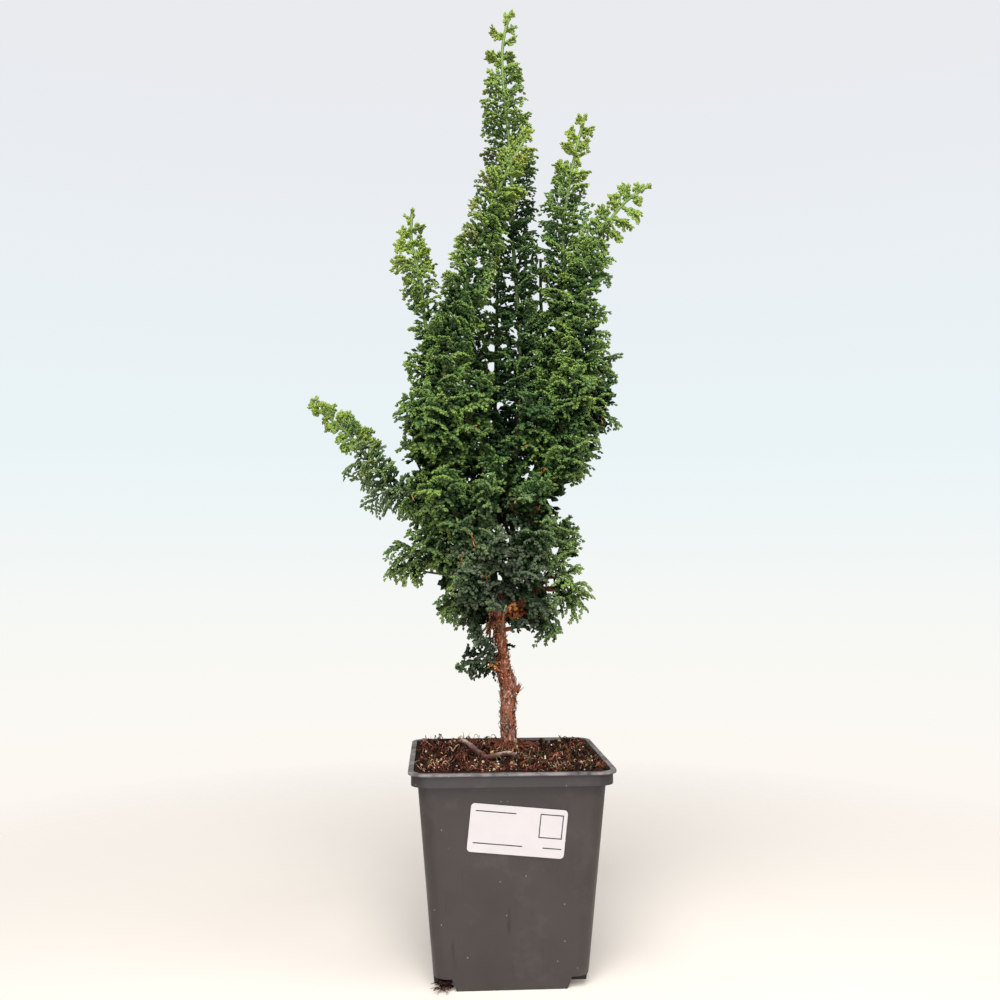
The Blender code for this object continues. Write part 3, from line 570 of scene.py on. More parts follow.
leafShoot = {
    "tierStep": 8.2 * mm, "tierSlope": math.radians(60), "tipSlope": math.radians(32), "twigLength": 8.8 * mm,
    "stemRadius": (1.35 * mm, 0.85 * mm), "brownShare": 0.0012, "slitEdge": 0.4, "pocketBelow": -0.36,
    "top": 34 * mm, "topStep": {"branch_low_left": 2.4 * mm, "others": 4.3 * mm},
    "freshLength": {
        "leader_right": 64 * mm, "leader_outer_right": 62 * mm, "leader_left": 72 * mm,
        "branch_low_left": 46 * mm, "others": 90 * mm,
    },
    # how much younger leaves near a leader's tip are, low down and higher than that, and again at the top
    "tipYouth": (0.26, 0.40), "highFrom": 0.35, "topYouth": 0.07, "topFrom": 0.44, "tuftYouth": (0.20, 0.36),
    "tipBrown": 0.05, "deadBrown": 0.22, "deadShare": 0.08,
    "bare": ("leader_centre", "leader_left", "leader_right"),  # whose stems show
    # z and x, from and to in millimetres, of what is seen of the trunk and of the withered spray beside it
    "clear": [(140, 177, -6, 4.5), (177, 191, -13, 0.5), (187, 197, 0.5, 11.5)],
}
eye = np.array([-39.3, -559.9, 213.7]) * mm  # where the tree is seen from, for the places below
# x, z and radius in millimetres, as seen from the front, of the places where the outline steps in
notches = [
    (38, 260, 9), (31, 253, 5.5), (-58, 273, 5.5), (61, 284, 7), (-42.5, 208, 8), (-58, 358, 6),
    (-57, 368, 5), (65, 308, 7), (66, 318, 6), (6, 178, 6.5), (12, 177, 6), (-24, 173, 3.5), (-68, 281, 5.5),
    (-98, 286, 4.5), (-55, 201, 6), (-91, 277, 4), (-106, 296, 3.5), (63.5, 404, 5), (57, 376, 5.5),
    (-57, 344, 7), (-54, 272, 5), (58, 299, 4.5), (40.5, 232, 3.5), (28, 255, 3.5), (-99, 314, 4),
]
# dark openings in the front and small gaps that one sees through, likewise
hollows = [(14.5, 246, 6.5), (-5, 302, 6), (-6, 286, 4), (-32, 231, 4)]
slits = [
    (-0.1, 409, 1.3), (0.2, 405, 1.3), (1.1, 417, 0.9), (5.4, 398, 1.2), (5.4, 394, 1.2), (-0.1, 387, 1.1),
    (1.8, 382, 1.8), (7.1, 373.5, 1.1), (7.1, 370, 1.1), (2.3, 370, 1.6), (4.2, 354, 1.5), (4.5, 350, 1.6),
    (-9.8, 367.5, 1.1), (-8.9, 363.5, 0.7), (-4.9, 356.5, 1.2), (17.6, 373, 1.8), (20.3, 381, 2),
    (20.3, 398, 1.6), (20.6, 393, 1.6), (22.4, 368, 1.9), (26.6, 355, 1.6), (21.3, 351, 1.3),
    (29.8, 432.5, 1.2), (-23.4, 394, 1.6), (-17.1, 392, 1.4), (-21.3, 382.5, 1.2), (43, 428, 1.2),
    (-8.4, 332.5, 2.3), (-8.4, 343, 1.8), (-15.8, 344.5, 1.3), (-1.5, 344.5, 1.3), (4.8, 343.5, 1.2),
    (-4.4, 309.5, 1.9), (1.4, 311.5, 1.3), (26.1, 254.5, 2.6), (28.4, 265, 1.8), (27.8, 226.5, 1.8),
    (24.3, 232.5, 1.4), (17.4, 256.5, 1.3),
]
extraFans = {  # foot and tips, in millimetres, of fans that close a gap or fill out a cluster
    "spray_right_3": [
        (27, -7, 220), (24, -20, 232), (31, -22, 237), (36, -18, 230), (29, -24, 223), (22, -18, 222),
        (22, -20, 214), (28, -20, 211), (18, -18, 218), (26, -22, 217),
    ],
    "spray_right_2": [
        (33, 1, 199), (46, 0, 207), (48, -3, 200), (45, -4, 192), (39, -4, 187), (42, -6, 196),
    ],
    "spray_left_2": [
        (-48, 0, 221), (-62, -4, 231), (-69, -2, 224), (-68, 0, 213), (-61, -4, 208), (-56, -6, 225),
    ],
    "spray_hanging_left": [
        (-7, -3, 184), (-11, -7, 165), (-8.5, -7, 162), (-12.5, -5, 170),
    ],
    "spray_low_left": [
        (-4, 6, 167), (2.8, 9, 172), (2.2, 10, 167), (-11, 6, 156), (-13, 3, 163),
    ],
    "spray_left_1": [
        (-24, -2, 196), (-32, -2, 185), (-38, -2, 190), (-37, -4, 199), (-34, 0, 193),
    ],
    "spray_right_1": [
        (16, -8, 186), (24, -6, 175), (21, -8, 180), (28, -6, 179),
    ],
    "spray_middle_1": [
        (-2, -12, 264), (-13, -20, 284), (-11, -22, 277), (-12, -20, 270), (-8, -22, 272), (-15, -18, 279),
    ],
    "spray_front_1": [
        (-4, -14, 199), (-9, -20, 193), (-5, -21, 191), (-1, -20, 192), (2, -19, 195),
    ],
    "spray_front_12": [
        (-12, -12, 235), (-14, -26, 241), (-18, -24, 236), (-11, -25, 233), (-7, -26, 238),
    ],
}
extraTufts = {  # tips, in millimetres, of more small fans on the stems near the tops of the leaders
    "leader_centre": [
        (4.5, 12, 553), (-4.5, 12, 527), (-6.5, 12, 520), (-9.5, 12, 513), (-11.5, 13, 508), (5, 12, 527),
        (8, 12, 520), (10.5, 12, 512),
    ],
    "leader_right": [
        (32, -2, 452), (34, -4, 446), (43, -3, 457), (48, -2, 466), (51, -2, 475), (31, -2, 442),
        (39, -6, 447), (44, -3, 453), (46, -3, 459), (49, -3, 463), (42, -3, 448),
    ],
    "leader_outer_right": [
        (60, -12, 429), (67, -12, 436), (48, -12, 417), (55, -12, 421), (63, -14, 431), (74, -12, 438),
    ],
    "leader_left": [
        (-48, 6, 399), (-57, 6, 415), (-53, 4, 379), (-50, 5, 390), (-44, 4, 391), (-57, 5, 406),
        (-59, 5, 401), (-54, 5, 399), (-48, 5, 415), (-45, 5, 401),
    ],
    "branch_low_left": [
        (-107, -15, 308), (-101, -15, 302), (-86, -15, 296), (-92, -15, 293), (-79, -15, 291),
        (-72, -15, 285), (-91, -15, 300),
    ],
}
fanRules = {
    "spray": {
        "seed": 5, "perMm": 0.86, "long": 2.5 * mm, "wide": 1.6 * mm, "thick": 1.3 * mm, "step": 2.2 * mm,
        "web": 1.70, "fork": (0.50, 0.90), "gap": (0.62, 0.92), "bare": 0.28, "spread": 0.68, "angle": 56,
        "arch": 0.32, "roll": 0.38, "cup": -0.8, "level": 1.2, "droop": 0.16, "tipReach": 10 * mm,
        "gain": 0.36, "mostReach": 21.5 * mm, "youth": -0.01, "inner": 3.4, "innerSize": 0.24,
        "innerEnd": 12, "slack": 0.62,
    },
    "leader": {
        "seed": 10, "perMm": 0.78, "long": 2.5 * mm, "wide": 1.45 * mm, "thick": 1.15 * mm, "step": 2.1 * mm,
        "web": 1.45, "fork": (0.45, 0.80), "gap": (0.62, 0.92), "bare": 0.18, "spread": 0.56, "angle": 48,
        "arch": 0.30, "roll": 0.6, "cup": -1.5, "level": 0.4, "droop": 0.36, "tipReach": 6 * mm,
        "gain": 0.22, "mostReach": 20 * mm, "youth": 0.02, "inner": 2.6, "innerSize": 0.19,
        "innerEnd": 45, "slack": 0.80,
    },
    "tuft": {
        "long": 2.9 * mm, "wide": 1.6 * mm, "thick": 1.4 * mm, "step": 1.9 * mm, "web": 1.45,
        "fork": (0.45, 0.75), "gap": (0.75, 1.0), "bare": 0.10, "spread": 0.50, "angle": 44, "arch": 0.20,
        "roll": 1.0, "cup": -0.6,
    },
}


def gaussians(rng, count, spread, mean=0):
    return np.array([rng.gauss(mean, spread) for _ in range(count)])


def spindle(widest, ring):
    # a closed shape of length 1 along x with a point at both ends, widest at a share of its length
    n = len(ring)
    faces = [[0, 1 + (i + 1) % n, 1 + i] for i in range(n)]
    faces += [[1 + i, 1 + (i + 1) % n, n + 1] for i in range(n)]
    points = np.array([(0, 0, 0), *[(widest, *place) for place in ring], (1, 0, 0)], float)
    return points, faces, (points[:, 2] < -0.9).astype(float)


bud = spindle(0.60, [(-1, -0.45), (1, -0.45), (0, 1)])
blade = spindle(0.45, [(-1, 0), (0, -1), (1, 0), (0, 1)])
thorn = spindle(0.12, [(-1, 0), (0, -1), (1, 0), (0, 1)])


def addShapes(bag, shape, starts, along, up, long, wide, thick, tints):
    points, faces, under = shape
    along = unit(along)
    across = unit(np.cross(up, along))
    up = np.cross(along, across)
    u, w, t = points.T
    placed = (starts[:, None, :] + along[:, None, :] * (long[:, None] * u)[:, :, None]
              + across[:, None, :] * (wide[:, None] / 2 * w)[:, :, None]
              + up[:, None, :] * (thick[:, None] / 2 * t)[:, :, None])
    made = np.repeat(tints[:, None, :], len(u), axis=1)
    made[:, :, 0] += 0.10 * (u - 0.5)  # the end of a bud is the youngest
    made[:, :, 3] = np.maximum(made[:, :, 3], under)
    bag.addMany(placed, faces, made)


def bladeRow(x, y, heading, reach, rule, width, youth):
    return (x, y, heading, 1.12 * reach / rule["long"], rule["web"] * width, youth, 1.0)


def branchlet(rng, x, heading, reach, youth, rule):
    # x, y, heading, length, width, youth and whether it is a blade, which runs along the middle
    dx, dy = math.cos(heading), math.sin(heading)
    half = 0.48 * reach
    rows = [bladeRow(x, 0.0, heading, half, rule, 1.0, youth - 0.08),
            bladeRow(x + 0.80 * half * dx, 0.80 * half * dy, heading, half, rule, 0.90, youth + 0.02)]
    turn = rng.choice((-1, 1))
    d = rule["long"] * 0.32
    while d < reach - 0.5 * rule["long"]:
        rows.append((x + dx * d, dy * d, heading + turn * rng.uniform(*rule["fork"]), rng.uniform(0.75, 1.05),
                     rng.uniform(0.85, 1.15), youth + 0.10 * d / reach, 0.0))
        turn = -turn
        d += rule["wide"] * rng.uniform(*rule["gap"])
    for turn in (-0.28, 0.28):
        d = reach - (0.62 + 0.15 * turn) * rule["long"]
        rows.append((x + dx * d, dy * d, heading + turn + rng.gauss(0, 0.1), 1.0, 1.0, youth + 0.14, 0.0))
    return rows


def fanPattern(rng, length, rule):
    # a flat fan that lies along x, as rows like those of its branchlets
    rows = [bladeRow(length * share, 0.0, 0.0, length * 0.30, rule, 1.0, 0.1) for share in (0.0, 0.28, 0.56)]
    side = rng.choice((-1, 1))
    x = length * rule["bare"]
    while x < length - 0.6 * rule["long"]:
        share = x / length
        swell = max(0.24, 1 - ((share - 0.48) / 0.54) ** 2)
        reach = max(length * rule["spread"] * swell * rng.uniform(0.75, 1.15), 0.9 * rule["long"])
        heading = side * math.radians(rule["angle"]) * (1.15 - 0.4 * share)
        rows += branchlet(rng, x, heading, reach, 0.15 + 0.17 * share, rule)
        side = -side
        x += rule["step"] * rng.uniform(0.8, 1.2)
    for heading in (-0.7, -0.25, 0.25, 0.7):
        rows.append((length - 0.9 * rule["long"], 0.0, heading + rng.gauss(0, 0.1), 1.0, 1.0, 0.42, 0.0))
    return np.array(rows)


def addFan(bag, rng, base, tip, upward, kind, youth, brown=0.0, grey=0.0, everywhere=False):
    rule = fanRules[kind]
    chord = tip - base
    length = np.linalg.norm(chord)
    if length < 2.2 * mm:
        return
    x, y, heading, long, wide, young, isBlade = fanPattern(rng, length, rule).T
    bend = base + chord * 0.5 + upward * rule["arch"] * rng.uniform(0.4, 1.5) * length
    t = np.clip(x / length, 0, 1)[:, None]
    centre = (1 - t) ** 2 * base + 2 * t * (1 - t) * bend + t * t * tip
    along = unit(2 * (1 - t) * (bend - base) + 2 * t * (tip - bend))
    across = unit(np.cross(along, upward))
    up = np.cross(across, along)
    roll = rng.gauss(0, rule["roll"])
    across, up = math.cos(roll) * across + math.sin(roll) * up, math.cos(roll) * up - math.sin(roll) * across
    cup = rule["cup"] * rng.uniform(0.2, 1.4)
    starts = centre + across * y[:, None] + up * (cup * y * y / length)[:, None]
    size = len(x)
    lift = gaussians(rng, size, 0.24, -0.08) * (1 - isBlade) + 2 * cup * y / length * np.sin(heading)
    ways = np.cos(heading)[:, None] * along + np.sin(heading)[:, None] * across + lift[:, None] * up
    tints = np.column_stack([
        young + youth + gaussians(rng, size, 0.045),
        np.full(size, min(1.0, grey * rng.uniform(0.6, 1.1) + 0.12 * rng.random())),
        [max(brown, float(rng.random() < leafShoot["brownShare"])) for _ in range(size)], np.zeros(size),
    ])
    long = long * rule["long"]
    wide = wide * rule["wide"]
    thick = wide * rule["thick"] / rule["wide"]
    reaching = starts + unit(ways) * long[:, None]
    hidden = beforeTrunk(starts) | beforeTrunk(reaching) | inSlit(starts) | inSlit(reaching)
    shown = np.full(size, True) if everywhere else ~hidden
    for shape, chosen in ((blade, shown & (isBlade > 0)), (bud, shown & (isBlade < 1))):
        addShapes(bag, shape, starts[chosen], ways[chosen], up[chosen], long[chosen], wide[chosen],
                  thick[chosen], tints[chosen])


def addStem(bag, route, name):
    # tinted brown where it is old and green near its tip
    length = len(route)
    leader = name in leaders
    young, brown = ((0.15, 0.50), (0.5, -0.6)) if leader else ((-0.1, -0.5), (1.2, -0.8))
    tints = np.zeros((length, 4))
    tints[:, 0] = np.linspace(*young, length)
    tints[:, 2] = np.clip(np.linspace(*brown, length), 0.08, 0.9)
    # painted shade: the stems of the shoots at the back are darkened
    if "_back" in name:
        tints[:, 0], tints[:, 2] = -0.35, 0.12
    bare = beforeTrunk(route)
    tints[bare, 0], tints[bare, 2] = 0.0, 0.88
    radii = np.linspace(*leafShoot["stemRadius"], length) * (1.0 if leader else 0.6)
    thinned = slice(None, None, 2)
    points, faces = tube(route[thinned], radii[thinned], 6)
    bag.add(points, faces, np.repeat(tints[thinned], 6, axis=0))


def addInner(bag, rng, name, route, frames, reaches, rule):
    # old leaves deep inside the shoot, which keep the light out; their near-black tint is painted shade
    most = len(route) - rule["innerEnd"]
    picked = [rng.randrange(most) for _ in range(round(rule["inner"] * most))] if most > 2 else []
    axes, sides, others = frames
    kept = []
    for i in picked:
        angle, depth = rng.uniform(0, 2 * math.pi), rng.uniform(0.06, 0.34)
        outward = math.cos(angle) * sides[i] + math.sin(angle) * others[i]
        start = route[i] + outward * reaches[i] * depth
        if beforeTrunk(start) or beforeTrunk(start + outward * 4 * mm) or inNotch(start):
            continue
        if name in leafShoot["bare"] and outward[1] < -0.3 and i > 0.45 * len(route):
            continue
        kept.append((i, *outward, *start))
    if not kept:
        return
    kept = np.array(kept)
    picked, outward, starts = kept[:, 0].astype(int), kept[:, 1:4], kept[:, 4:]
    axes, reach = axes[picked], reaches[picked]
    jitter = gaussians(rng, 3 * len(kept), 0.3).reshape(-1, 3)
    # painted shade: inner leaves get near-black tints, less dark higher up a leader
    upper = np.clip((picked / len(route) - 0.3) / 0.5, 0, 1) * (0.75 if name in leaders else 0.0)
    tints = np.array([(rng.uniform(-0.5, -0.15) + rise, 0.0, 0.0, 0.0) for rise in upper])
    along, up = outward + 0.5 * axes + jitter, axes + jitter[:, ::-1]
    long, wide, thick = [share * reach + least * mm
                         for share, least in ((rule["innerSize"], 1.2), (0.14, 1.2), (0.08, 0.8))]
    shown = ~(inSlit(starts) | inSlit(starts + unit(along) * long[:, None]))
    addShapes(bag, bud, starts[shown], along[shown], up[shown], long[shown], wide[shown], thick[shown],
              tints[shown])


def reachIn(tree, start, way):
    # how far the shoot's solid goes that way from its stem
    hit = tree.ray_cast(Vector(start), Vector(way), 0.05)
    return hit[3] if hit[0] else 0.004


def widestWay(tree, start, angle, slope, axis, side, other):
    # of three ways close together, the one in which the solid reaches furthest
    best = (0.0, None)
    for nudge in (-0.3, 0.0, 0.3):
        outward = math.cos(angle + nudge) * side + math.sin(angle + nudge) * other
        way = math.sin(slope) * outward + math.cos(slope) * axis
        reach = reachIn(tree, start, way)
        if reach > best[0]:
            best = (reach, way)
    return best


def seenAt(point):
    # x and z in millimetres of the point of the plane y = 0 that is seen at the same place from the front
    point = np.asarray(point, float)
    seen = (eye + (point - eye) * (eye[1] / (eye[1] - point[..., 1:2]))) / mm
    return seen[..., 0], seen[..., 2]


def beforeTrunk(point):
    x, z = seenAt(point)
    covered = np.zeros(x.shape, bool)
    for low, high, left, right in leafShoot["clear"]:
        covered |= (low < z) & (z < high) & (left < x) & (x < right)
    return covered & (np.asarray(point)[..., 1] < 2 * mm)


def inPlace(point, places):
    x, z = seenAt(point)
    return any((x - a) ** 2 + (z - b) ** 2 < radius ** 2 for a, b, radius in places)


def inSlit(points):
    x, z = seenAt(points)
    slitX, slitZ, radius = np.array(slits).T
    away = np.hypot(x[:, None] - slitX, z[:, None] - slitZ)
    return (away < radius + leafShoot["slitEdge"]).any(axis=1)


def inNotch(point):
    return inPlace(point, notches)


def inHollow(point):
    return point[1] < 6 * mm and inPlace(point, hollows)


def lightAt(point):
    # painted light and shade: leaves high up, on the left, on the far right and in the outer low clusters are
    # made lighter, those low down, between the leaders and in the middle darker
    x, y, z = point / mm
    between = max(0, 1 - ((x - 2) / 30) ** 2) * clamp((y + 4) / 14) * clamp((480 - z) / 60)
    low = clamp((240 - z) / 70) * (1 - 0.8 * min(1, ((x + 3) / 36) ** 2))
    outer = clamp((abs(x + 3) - 20) / 14) * clamp((228 - z) / 20) * (0.15 if x < 0 else 0.22)
    patchy = 0.24 * noise.noise(Vector(point) * 52) + 0.13 * clamp((x - 15) / 20)
    middle = 0.08 * max(0, 1 - ((x - 4) / 20) ** 2) * clamp((330 - z) / 20)
    return 0.13 * clamp(-x / 45, -0.2, 1.2) - 0.39 * low - 0.37 * between - middle + outer + patchy


def greyAt(point):
    # old leaves low in the middle of the tree are grey, and those on the low branch a little
    x, z = point[0] / mm, point[2] / mm
    onBranch = 0.42 * clamp((-56 - x) / 8) * clamp((306 - z) / 16) * clamp((z - 240) / 10)
    return clamp((264 - z) / 45) * (1 - 0.75 * min(1, ((x + 3) / 32) ** 2)) + onBranch


def byHeight(pair, point):
    return pair[1] if point[2] > leafShoot["highFrom"] else pair[0]


def fanSpots(rng, name, rule, last, body):
    # how far along the stem each fan belongs
    fans = round(rule["perMm"] * body / mm)
    spots = [body * (number + rng.uniform(-0.5, 1.5)) / fans for number in range(fans)]
    if name in leaders:
        topStep = leafShoot["topStep"]
        spots += list(np.arange(body, last, topStep.get(name, topStep["others"])))
    return spots


def leaderYouth(rng, name, fromTip, tip):
    # how much younger, and how brown, a fan of a leader is near the leader's tip
    freshLength = leafShoot["freshLength"].get(name, leafShoot["freshLength"]["others"])
    nearTip = clamp(1.15 - fromTip / freshLength)
    youth = nearTip * byHeight(leafShoot["tipYouth"], tip)
    youth += leafShoot["topYouth"] if tip[2] > leafShoot["topFrom"] else 0.0
    dead = rng.random() < leafShoot["deadShare"] * nearTip
    return youth, leafShoot["tipBrown"] * nearTip + (leafShoot["deadBrown"] if dead else 0.0)


def addLastFans(bag, rng, name, kind, route, sides, others):
    # the fans at the end of the stem and those with places of their own
    youth = fanRules[kind]["youth"]
    end = route[-1]
    if kind == "leader" and not beforeTrunk(end):
        for way in (sides[-1], others[-1]):
            addFan(bag, rng, route[-7], end, way, "tuft", 0.60, 0.06)
    elif not beforeTrunk(end):
        addFan(bag, rng, route[-5], end, sides[-1], kind, youth + 0.1, 0.0, greyAt(end))
    upward = np.array([0, -0.4, 1.0])
    foot, *tips = np.array(extraFans.get(name, [(0, 0, 0)])) * mm
    for tip in tips:
        # painted light and shade from lightAt are added to the youth of each extra fan
        addFan(bag, rng, foot, tip, upward, kind, youth + lightAt(tip), 0.0, greyAt(tip))
    for tip in np.array(extraTufts.get(name, [])).reshape(-1, 3) * mm:
        j = max(0, int(np.argmin(np.linalg.norm(route - tip, axis=1))) - 3)
        addFan(bag, rng, route[j], tip, upward, "tuft", byHeight(leafShoot["tuftYouth"], tip),
               leafShoot["tipBrown"])


def makeShoot(name):
    leader = name in leaders
    kind = "leader" if leader else "spray"
    rule = fanRules[kind]
    rng = random.Random(f"leaves {name} {rule['seed']}")
    tree = solidOf(name)
    route = routes[name][round(leafShoot["twigLength"] / mm):]
    axes, sides, others = framesAlong(route)
    total = (len(route) - 1) * mm
    bag = MeshBag()
    addStem(bag, route, name)
    toTip = total - mm * np.arange(len(route))
    full = np.minimum(rule["mostReach"], rule["tipReach"] + rule["gain"] * toTip)
    addInner(bag, rng, name, route, (axes, sides, others), full, rule)
    last = total - 0.85 * rule["tipReach"]
    tiers = round(last / leafShoot["tierStep"])
    step = last / (tiers + 0.5)
    body = last - leafShoot["top"] if leader else last
    spots = fanSpots(rng, name, rule, last, body)
    angle = rng.uniform(0, 2 * math.pi)
    side = rng.choice((-1, 1))
    for at in spots:
        tier = clamp(round(at / step - 0.5), 0, tiers)
        slope = leafShoot["tipSlope"] if tier == tiers else leafShoot["tierSlope"]
        castAt = step * (tier + 0.5)
        i = min(round(castAt / mm), len(route) - 1)
        angle += 2.4 + rng.uniform(-0.3, 0.3)
        if leader and at >= body:  # near its tip a leader bears fans to the left and the right by turns
            side = -side
            toSide = np.array([side, rng.gauss(-0.1, 0.35), 0.0])
            angle = math.atan2(toSide @ others[i], toSide @ sides[i])
        reach, way = widestWay(tree, route[i], angle, slope, axes[i], sides[i], others[i])
        if name in leafShoot["bare"] and at > 0.5 * total and way[1] < -0.5 and rng.random() < 0.5:
            continue
        reach = max(reach, rule["slack"] * full[i]) * rng.uniform(0.82, 1.05)
        j = clamp(round((at - 0.12 * reach) / mm), 0, len(route) - 1)
        tip = route[i] + way * reach + axes[i] * (at - castAt + rng.gauss(0, 1.2) * mm)
        tip[2] -= rule["droop"] * rng.uniform(0.2, 1.6) * reach * (1 - abs(way[2]))
        tip -= axes[-1] * max(0.0, (tip - route[-1]) @ axes[-1] + 1.2 * mm)
        for _ in range(4):
            if inNotch(tip):
                tip = route[j] + (tip - route[j]) * 0.8
        middle = (route[j] + tip) / 2
        if inNotch(tip) or beforeTrunk(tip) or beforeTrunk(middle) or inHollow(tip) or inHollow(middle):
            continue
        pocket = noise.noise(Vector(tip) * 75 + Vector((4, 2, 7))) < leafShoot["pocketBelow"]
        if not leader and tip[1] < 0 and pocket:
            continue
        # painted light and shade from lightAt are added to the youth of each fan
        youth, brown = rule["youth"] + lightAt(tip) + rng.gauss(0, 0.06), 0.0
        if leader:
            younger, brown = leaderYouth(rng, name, total - at, tip)
            youth += younger
        upward = unit(axes[i] + rule["level"] * np.array([0, 0, 1.0]))
        if leader and at >= body:
            for _ in range(3):
                nudge = gaussians(rng, 3, 0.16) * reach
                addFan(bag, rng, route[j], tip + nudge, upward, "tuft", youth, brown)
        else:
            addFan(bag, rng, route[j], tip, upward, kind, youth, brown, greyAt(tip))
    addLastFans(bag, rng, name, kind, route, sides, others)
    return bag.piece(name + "_leaves", leafLook, "foliage", [name])


leafFaces = 0
for shootName in routes:
    shoot = makeShoot(shootName)
    leafFaces += sum(len(face.vertices) - 2 for face in shoot.data.polygons)
print("leafy shoots made:", len(routes), "with", leafFaces, "triangles")


# Small shapes that are strewn about

def within(rng, ends):
    # a random measure in metres between the two in millimetres
    return rng.uniform(*ends) * mm


def lumpShape(subdivisions):
    bm = bmesh.new()
    bmesh.ops.create_icosphere(bm, subdivisions=subdivisions, radius=1.0)
    points = np.array([v.co for v in bm.verts])
    faces = [[v.index for v in face.verts] for face in bm.faces]
    bm.free()
    return points, faces


def addLump(bag, rng, shape, centre, size, flat, rough, tint):
    points, faces = shape
    turn = Matrix.Rotation(rng.uniform(0, 6.28), 3, Vector(gaussians(rng, 3, 1)))
    made = points * (1 + gaussians(rng, len(points), rough))[:, None]
    made = made * (rng.uniform(0.8, 1.3), rng.uniform(0.7, 1.1), flat)
    bag.add(made @ np.array(turn) * size + centre, faces, (*tint, 1.0))


def addFibre(bag, rng, start, heading, length, rise, radius, tint, ground=None):
    # a thin curved strand, highest in the middle
    t = np.linspace(0, 1, 6)
    bend = rng.uniform(-1.2, 1.2)
    angles = heading + bend * t
    x = start[0] + np.cumsum(np.cos(angles)) * length / 6
    y = start[1] + np.cumsum(np.sin(angles)) * length / 6
    z = np.array([ground(a, b) for a, b in zip(x, y)]) if ground else np.full(6, start[2])
    z = z + rise * np.sin(math.pi * t) + radius * 0.4
    points, faces = tube(np.column_stack([x, y, z]), radius * np.array([0.5, 0.9, 1.0, 0.9, 0.7, 0.3]), 3)
    bag.add(points, faces, (*tint, 1.0))


def addSliver(bag, start, along, up, long, wide, thick, tint, shape=None):
    placed = [np.array([value], float) for value in (start, along, up, long, wide, thick)]
    addShapes(bag, shape or bud, *placed, np.array([[*tint, 1.0]]))


crumb = lumpShape(1)
stone = lumpShape(2)


# Pot

pot = {
    "height": 112, "lip": 108, "lipThick": 1.4, "collar": 104.8, "collarHeight": 7.2, "bodyTop": 98,
    "bodyFoot": 80, "corner": 8, "cornerSteps": 9, "sideSteps": 6, "wall": 1.2, "foot": 57, "footSlant": 2.4,
    "recess": 6.2, "drain": 34, "drainRadius": 3.5, "edge": 0.35,
    "past": 4, "beyond": 45,  # how far the shapes that cut reach past the pot, and out from its middle
}


def roundedSquare(width, radius, height):
    # an outline with round corners and a few points along each side, in millimetres
    points = []
    reach = width / 2 - radius
    for quarter in range(4):
        c, s = (1, 0, -1, 0)[quarter], (0, 1, 0, -1)[quarter]
        row = [(reach + radius * math.cos(a), reach + radius * math.sin(a))
               for a in np.linspace(0, math.pi / 2, pot["cornerSteps"] + 1)]
        row += [(reach - 2 * reach * i / pot["sideSteps"], width / 2) for i in range(1, pot["sideSteps"])]
        points += [((x * c - y * s), (x * s + y * c), height) for x, y in row]
    return np.array(points) * mm


def roughSolid(rings):
    points, faces = loft(rings)
    return addMesh("rough", points.tolist(), faces)


def cutAway(made, cutters):
    for cutter in cutters:
        modifier = made.modifiers.new("cut", "BOOLEAN")
        modifier.operation = "DIFFERENCE"
        modifier.solver = "EXACT"
        modifier.object = cutter
        applyModifiers(made)
        bpy.data.objects.remove(cutter)
    return made


def recessBlock(signX, signY, grown):
    # the room under a raised corner of the floor
    low = pot["foot"] / 2 - grown
    high = low + pot["footSlant"]
    rings = []
    far = pot["beyond"]
    for z, inner in ((-pot["past"], low), (0, low), (pot["recess"] + grown, high)):
        square = [(inner, inner), (far, inner), (far, far), (inner, far)]
        rings.append(np.array([(signX * x, signY * y, z) for x, y in square[::signX * signY]]) * mm)
    return roughSolid(rings)


def drainHole(x, y):
    rim = [(x + pot["drainRadius"] * math.cos(a), y + pot["drainRadius"] * math.sin(a)) for a in circle(24)]
    return roughSolid([np.array([(a, b, z) for a, b in rim]) * mm for z in (0, 12)])


def cornerOf(width):
    # the wide rings have rounder corners
    return pot["corner"] + 0.35 * max(0, (width - pot["bodyTop"]) / 2)


def cavityRings(inset):
    # up the inside of the pot, from its floor to the wide part behind the collar
    stepZ = pot["height"] - pot["collarHeight"] + pot["wall"] + inset
    shrink = 2 * (pot["wall"] + inset)
    radius = pot["corner"] - pot["wall"] - inset
    return [
        roundedSquare(pot["bodyFoot"] - shrink, radius, pot["wall"] + inset),
        roundedSquare(pot["bodyTop"] - shrink, radius, stepZ),
        roundedSquare(pot["collar"] - shrink, pot["corner"] - inset, stepZ),
    ]


def makePot():
    collarZ = pot["height"] - pot["collarHeight"]
    lipZ = pot["height"] - pot["lipThick"]
    profile = [(pot["bodyFoot"], 0), (pot["bodyTop"], collarZ), (pot["collar"], collarZ),
               (pot["collar"], lipZ), (pot["lip"], lipZ), (pot["lip"], pot["height"])]
    outside = roughSolid([roundedSquare(width, cornerOf(width), z) for width, z in profile])
    corners = [(x, y) for x in (-1, 1) for y in (-1, 1)]
    cutAway(outside, [recessBlock(x, y, 0) for x, y in corners])
    top = roundedSquare(pot["collar"] - 2 * pot["wall"], pot["corner"], pot["height"] + pot["past"])
    inside = roughSolid(cavityRings(0) + [top])
    cutAway(inside, [recessBlock(x, y, pot["wall"]) for x, y in corners])
    cutAway(outside, [inside] + [drainHole(x * pot["drain"], y * pot["drain"]) for x, y in corners])
    outside.name = "nurseryPot"
    outside.data.materials.clear()
    outside.data.materials.append(potLook)
    outside.data.shade_smooth()
    bevel = outside.modifiers.new("softEdges", "BEVEL")
    bevel.width = pot["edge"] * mm
    bevel.segments = 2
    bevel.limit_method = "ANGLE"
    bevel.angle_limit = math.radians(35)
    bevel.harden_normals = True
    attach(outside, "root")
    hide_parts("pot")


# Label

